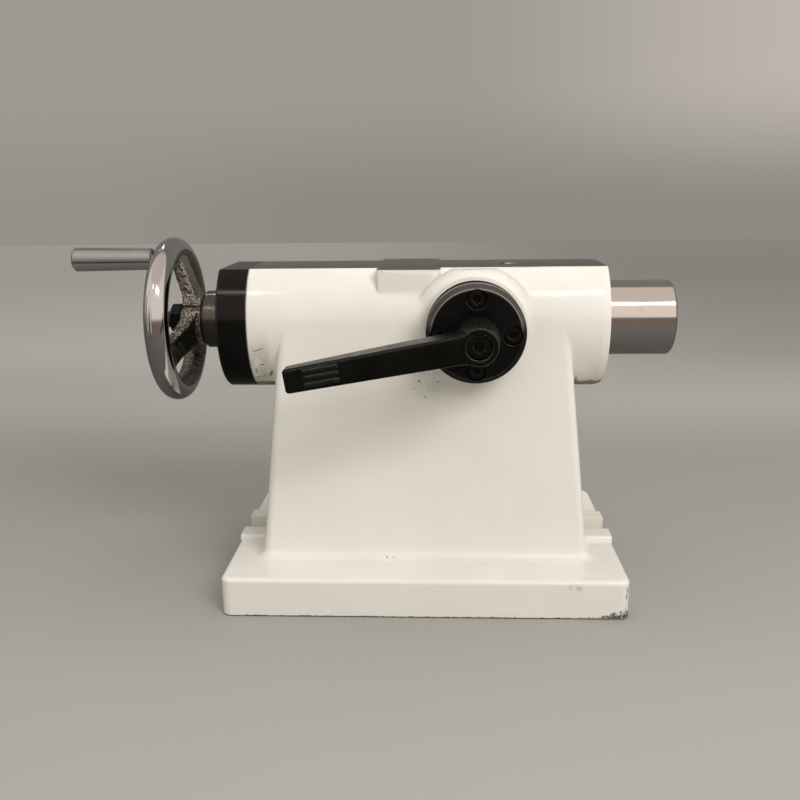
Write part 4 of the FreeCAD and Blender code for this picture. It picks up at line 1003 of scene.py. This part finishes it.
# Floor, camera and light
def stage_plane(name, low, high, height):
    """A flat sheet between two corners, facing up."""
    x, y = np.meshgrid([low[0], high[0]], [low[1], high[1]])
    corners = np.column_stack([x.ravel(), y.ravel(), np.full(4, height)])
    mesh = bpy.data.meshes.new(name)
    mesh.from_pydata(corners.tolist(), [], [(0, 1, 3, 2)])
    sheet = bpy.data.objects.new(name, mesh)
    bpy.context.scene.collection.objects.link(sheet)
    return sheet


def table_finish():
    """The pale table: a little cloudy, with painted shade in a band round the object and painted light far
    back, painted shade to the right and painted light to the left past the object, and dim where gloss on
    the object shows it, a painted dark reflection.
    """
    material, g = new_material("table")
    place = g.place()
    cloud = g.noise(place, 3.0, 2.0)
    depth = g.split(place)[1]
    base = g.mix(g.times(cloud, 0.5), TABLE, scaled(TABLE, 0.96, 0.96, 0.96))
    # painted shade and light on the table, by distance from the camera
    base = g.mix(g.step(depth, -0.25, 0.15), base, TABLE_MIDDLE_SHADE)
    base = g.mix(g.step(depth, 0.20, 0.44), base, TABLE_BACK)
    base = g.mix(g.step(depth, 1.5, 2.9), base, TABLE_FAR_LIGHT)
    beyond = g.step(depth, 0.45, 0.75)
    right = g.step(g.split(place)[0], -0.5, 0.6)
    # past the object: painted shade on the right, painted light on the left
    base = g.mix(g.times(g.times(beyond, right), 0.19), base, BLACK)
    base = g.mix(g.times(g.times(beyond, g.inverse(right)), 0.13), base, TABLE_LIGHT)
    glossy = g.add("ShaderNodeLightPath").outputs["Is Glossy Ray"]
    brink = g.step(depth, TABLE_FRONT + 0.030, TABLE_FRONT + 0.015)
    base = g.mix(g.times(glossy, g.span(brink, 0.72, 0.93)), base, BLACK)
    g.finish(base, 0.7)
    return material


table = table_finish()
near_table = stage_plane("table_near", (-3.0, TABLE_FRONT), (3.0, 3.0), 0.0)
far_table = stage_plane("table_far", (-3.0, -3.0), (3.0, TABLE_FRONT), 0.0)
far_table.visible_glossy = False
for sheet in (near_table, far_table):
    sheet.data.materials.append(table)

def photo_camera():
    """The photograph's camera: its axes from pitch, yaw and roll."""
    run = math.cos(CAMERA_PITCH)
    ahead = Vector((math.sin(CAMERA_YAW) * run, math.cos(CAMERA_YAW) * run, -math.sin(CAMERA_PITCH)))
    level = Vector((math.cos(CAMERA_YAW), -math.sin(CAMERA_YAW), 0.0))
    above = level.cross(ahead)
    right = level * math.cos(CAMERA_ROLL) + above * math.sin(CAMERA_ROLL)
    up = above * math.cos(CAMERA_ROLL) - level * math.sin(CAMERA_ROLL)
    turn = Matrix((right, up, -ahead)).transposed().to_4x4()
    data = bpy.data.cameras.new("camera")
    data.sensor_fit = "HORIZONTAL"
    data.sensor_width = SENSOR
    data.lens = FOCAL_PIXELS / FRAME_PIXELS * SENSOR
    data.clip_start = 0.01
    camera = bpy.data.objects.new("camera", data)
    camera.matrix_world = Matrix.Translation(CAMERA_PLACE) @ turn
    bpy.context.scene.collection.objects.link(camera)
    bpy.context.scene.camera = camera


def lamp(name, place, target, size, power, colour):
    """A rectangular lamp at a place, facing a target."""
    data = bpy.data.lights.new(name, "AREA")
    data.shape = "RECTANGLE"
    data.size, data.size_y = size
    data.energy = power
    data.color = colour
    light = bpy.data.objects.new(name, data)
    light.location = place
    light.rotation_euler = (Vector(target) - Vector(place)).to_track_quat("-Z", "Y").to_euler()
    bpy.context.scene.collection.objects.link(light)
    return light


def room_light():
    """The world: an even light, seen in gloss as a bright soft box overhead that ends
    just above the horizon in front and past the zenith behind, with a dark room round it."""
    world = bpy.data.worlds.new("room")
    bpy.context.scene.world = world
    world.use_nodes = True
    world.node_tree.nodes.clear()
    g = Graph(world.node_tree)
    x, y, z = g.split(g.add("ShaderNodeTexCoord").outputs["Generated"])
    stripes = g.noise(g.add("ShaderNodeCombineXYZ", inputs=[("X", x), ("Y", y)]).outputs[0], 6.5, 2.0, 0.6)
    leftward = g.step(x, -0.20, -0.55)
    lowered = g.times(leftward, g.plus(-0.10, g.times(g.math("SUBTRACT", stripes, 0.5), 2.8)))
    front_edge = g.step(g.plus(g.plus(z, g.times(y, 0.123)), lowered), -0.05, 0.05)
    soft = g.blend(g.step(x, 0.10, -0.20), 0.03, 0.30)
    back_edge = g.step(g.plus(z, g.times(y, -2.48)), g.times(soft, -1.0), soft)
    brown = g.mix(g.times(leftward, 0.45), ROOM_BROWN, BLACK)
    dark_room = g.mix(g.step(y, -0.3, 0.3), brown, ROOM_GREY)
    box = g.mix(g.step(z, 0.70, 0.80), SOFT_BOX, SOFT_BOX_HIGH)
    gloss = g.mix(g.times(front_edge, back_edge), dark_room, box)
    over_cap = g.times(g.between(z, 0.765, 0.805, 0.012), g.between(x, -0.252, -0.216, 0.004))
    gloss = g.mix(over_cap, gloss, CAP_LINE)
    upper = g.mix(g.step(x, 0.0, 0.42), *WALL_UPPER)
    lower = g.mix(g.step(x, -0.40, -0.10), *WALL_LOWER)
    wall = g.mix(g.step(z, -0.04, 0.11), lower, upper)
    path = g.add("ShaderNodeLightPath")
    colour = g.mix(path.outputs["Is Camera Ray"], ROOM_GLOW, wall)
    colour = g.mix(path.outputs["Is Glossy Ray"], colour, gloss)
    background = g.add("ShaderNodeBackground", inputs=[("Color", colour), ("Strength", 1.0)])
    output = g.add("ShaderNodeOutputWorld")
    world.node_tree.links.new(background.outputs[0], output.inputs["Surface"])


photo_camera()
room_light()
lamp("strip_lamp", (0.72, -1.22, 1.58), (0.72, 0.0, 0.15), (1.15, 0.22), 5.3, LAMP_WARM)
key_lamp = lamp("key_lamp", (0.80, -1.12, 1.10), (0.0, 0.0, 0.10), (0.7, 0.7), 12.8, LAMP_WARM)
top_lamp = lamp("top_lamp", (0.0, 0.1, 1.6), (0.0, 0.0, 0.1), (1.4, 1.4), 7.0, LAMP_TOP)
key_lamp.visible_glossy = False
top_lamp.visible_glossy = False

bpy.context.scene.view_settings.view_transform = "Standard"
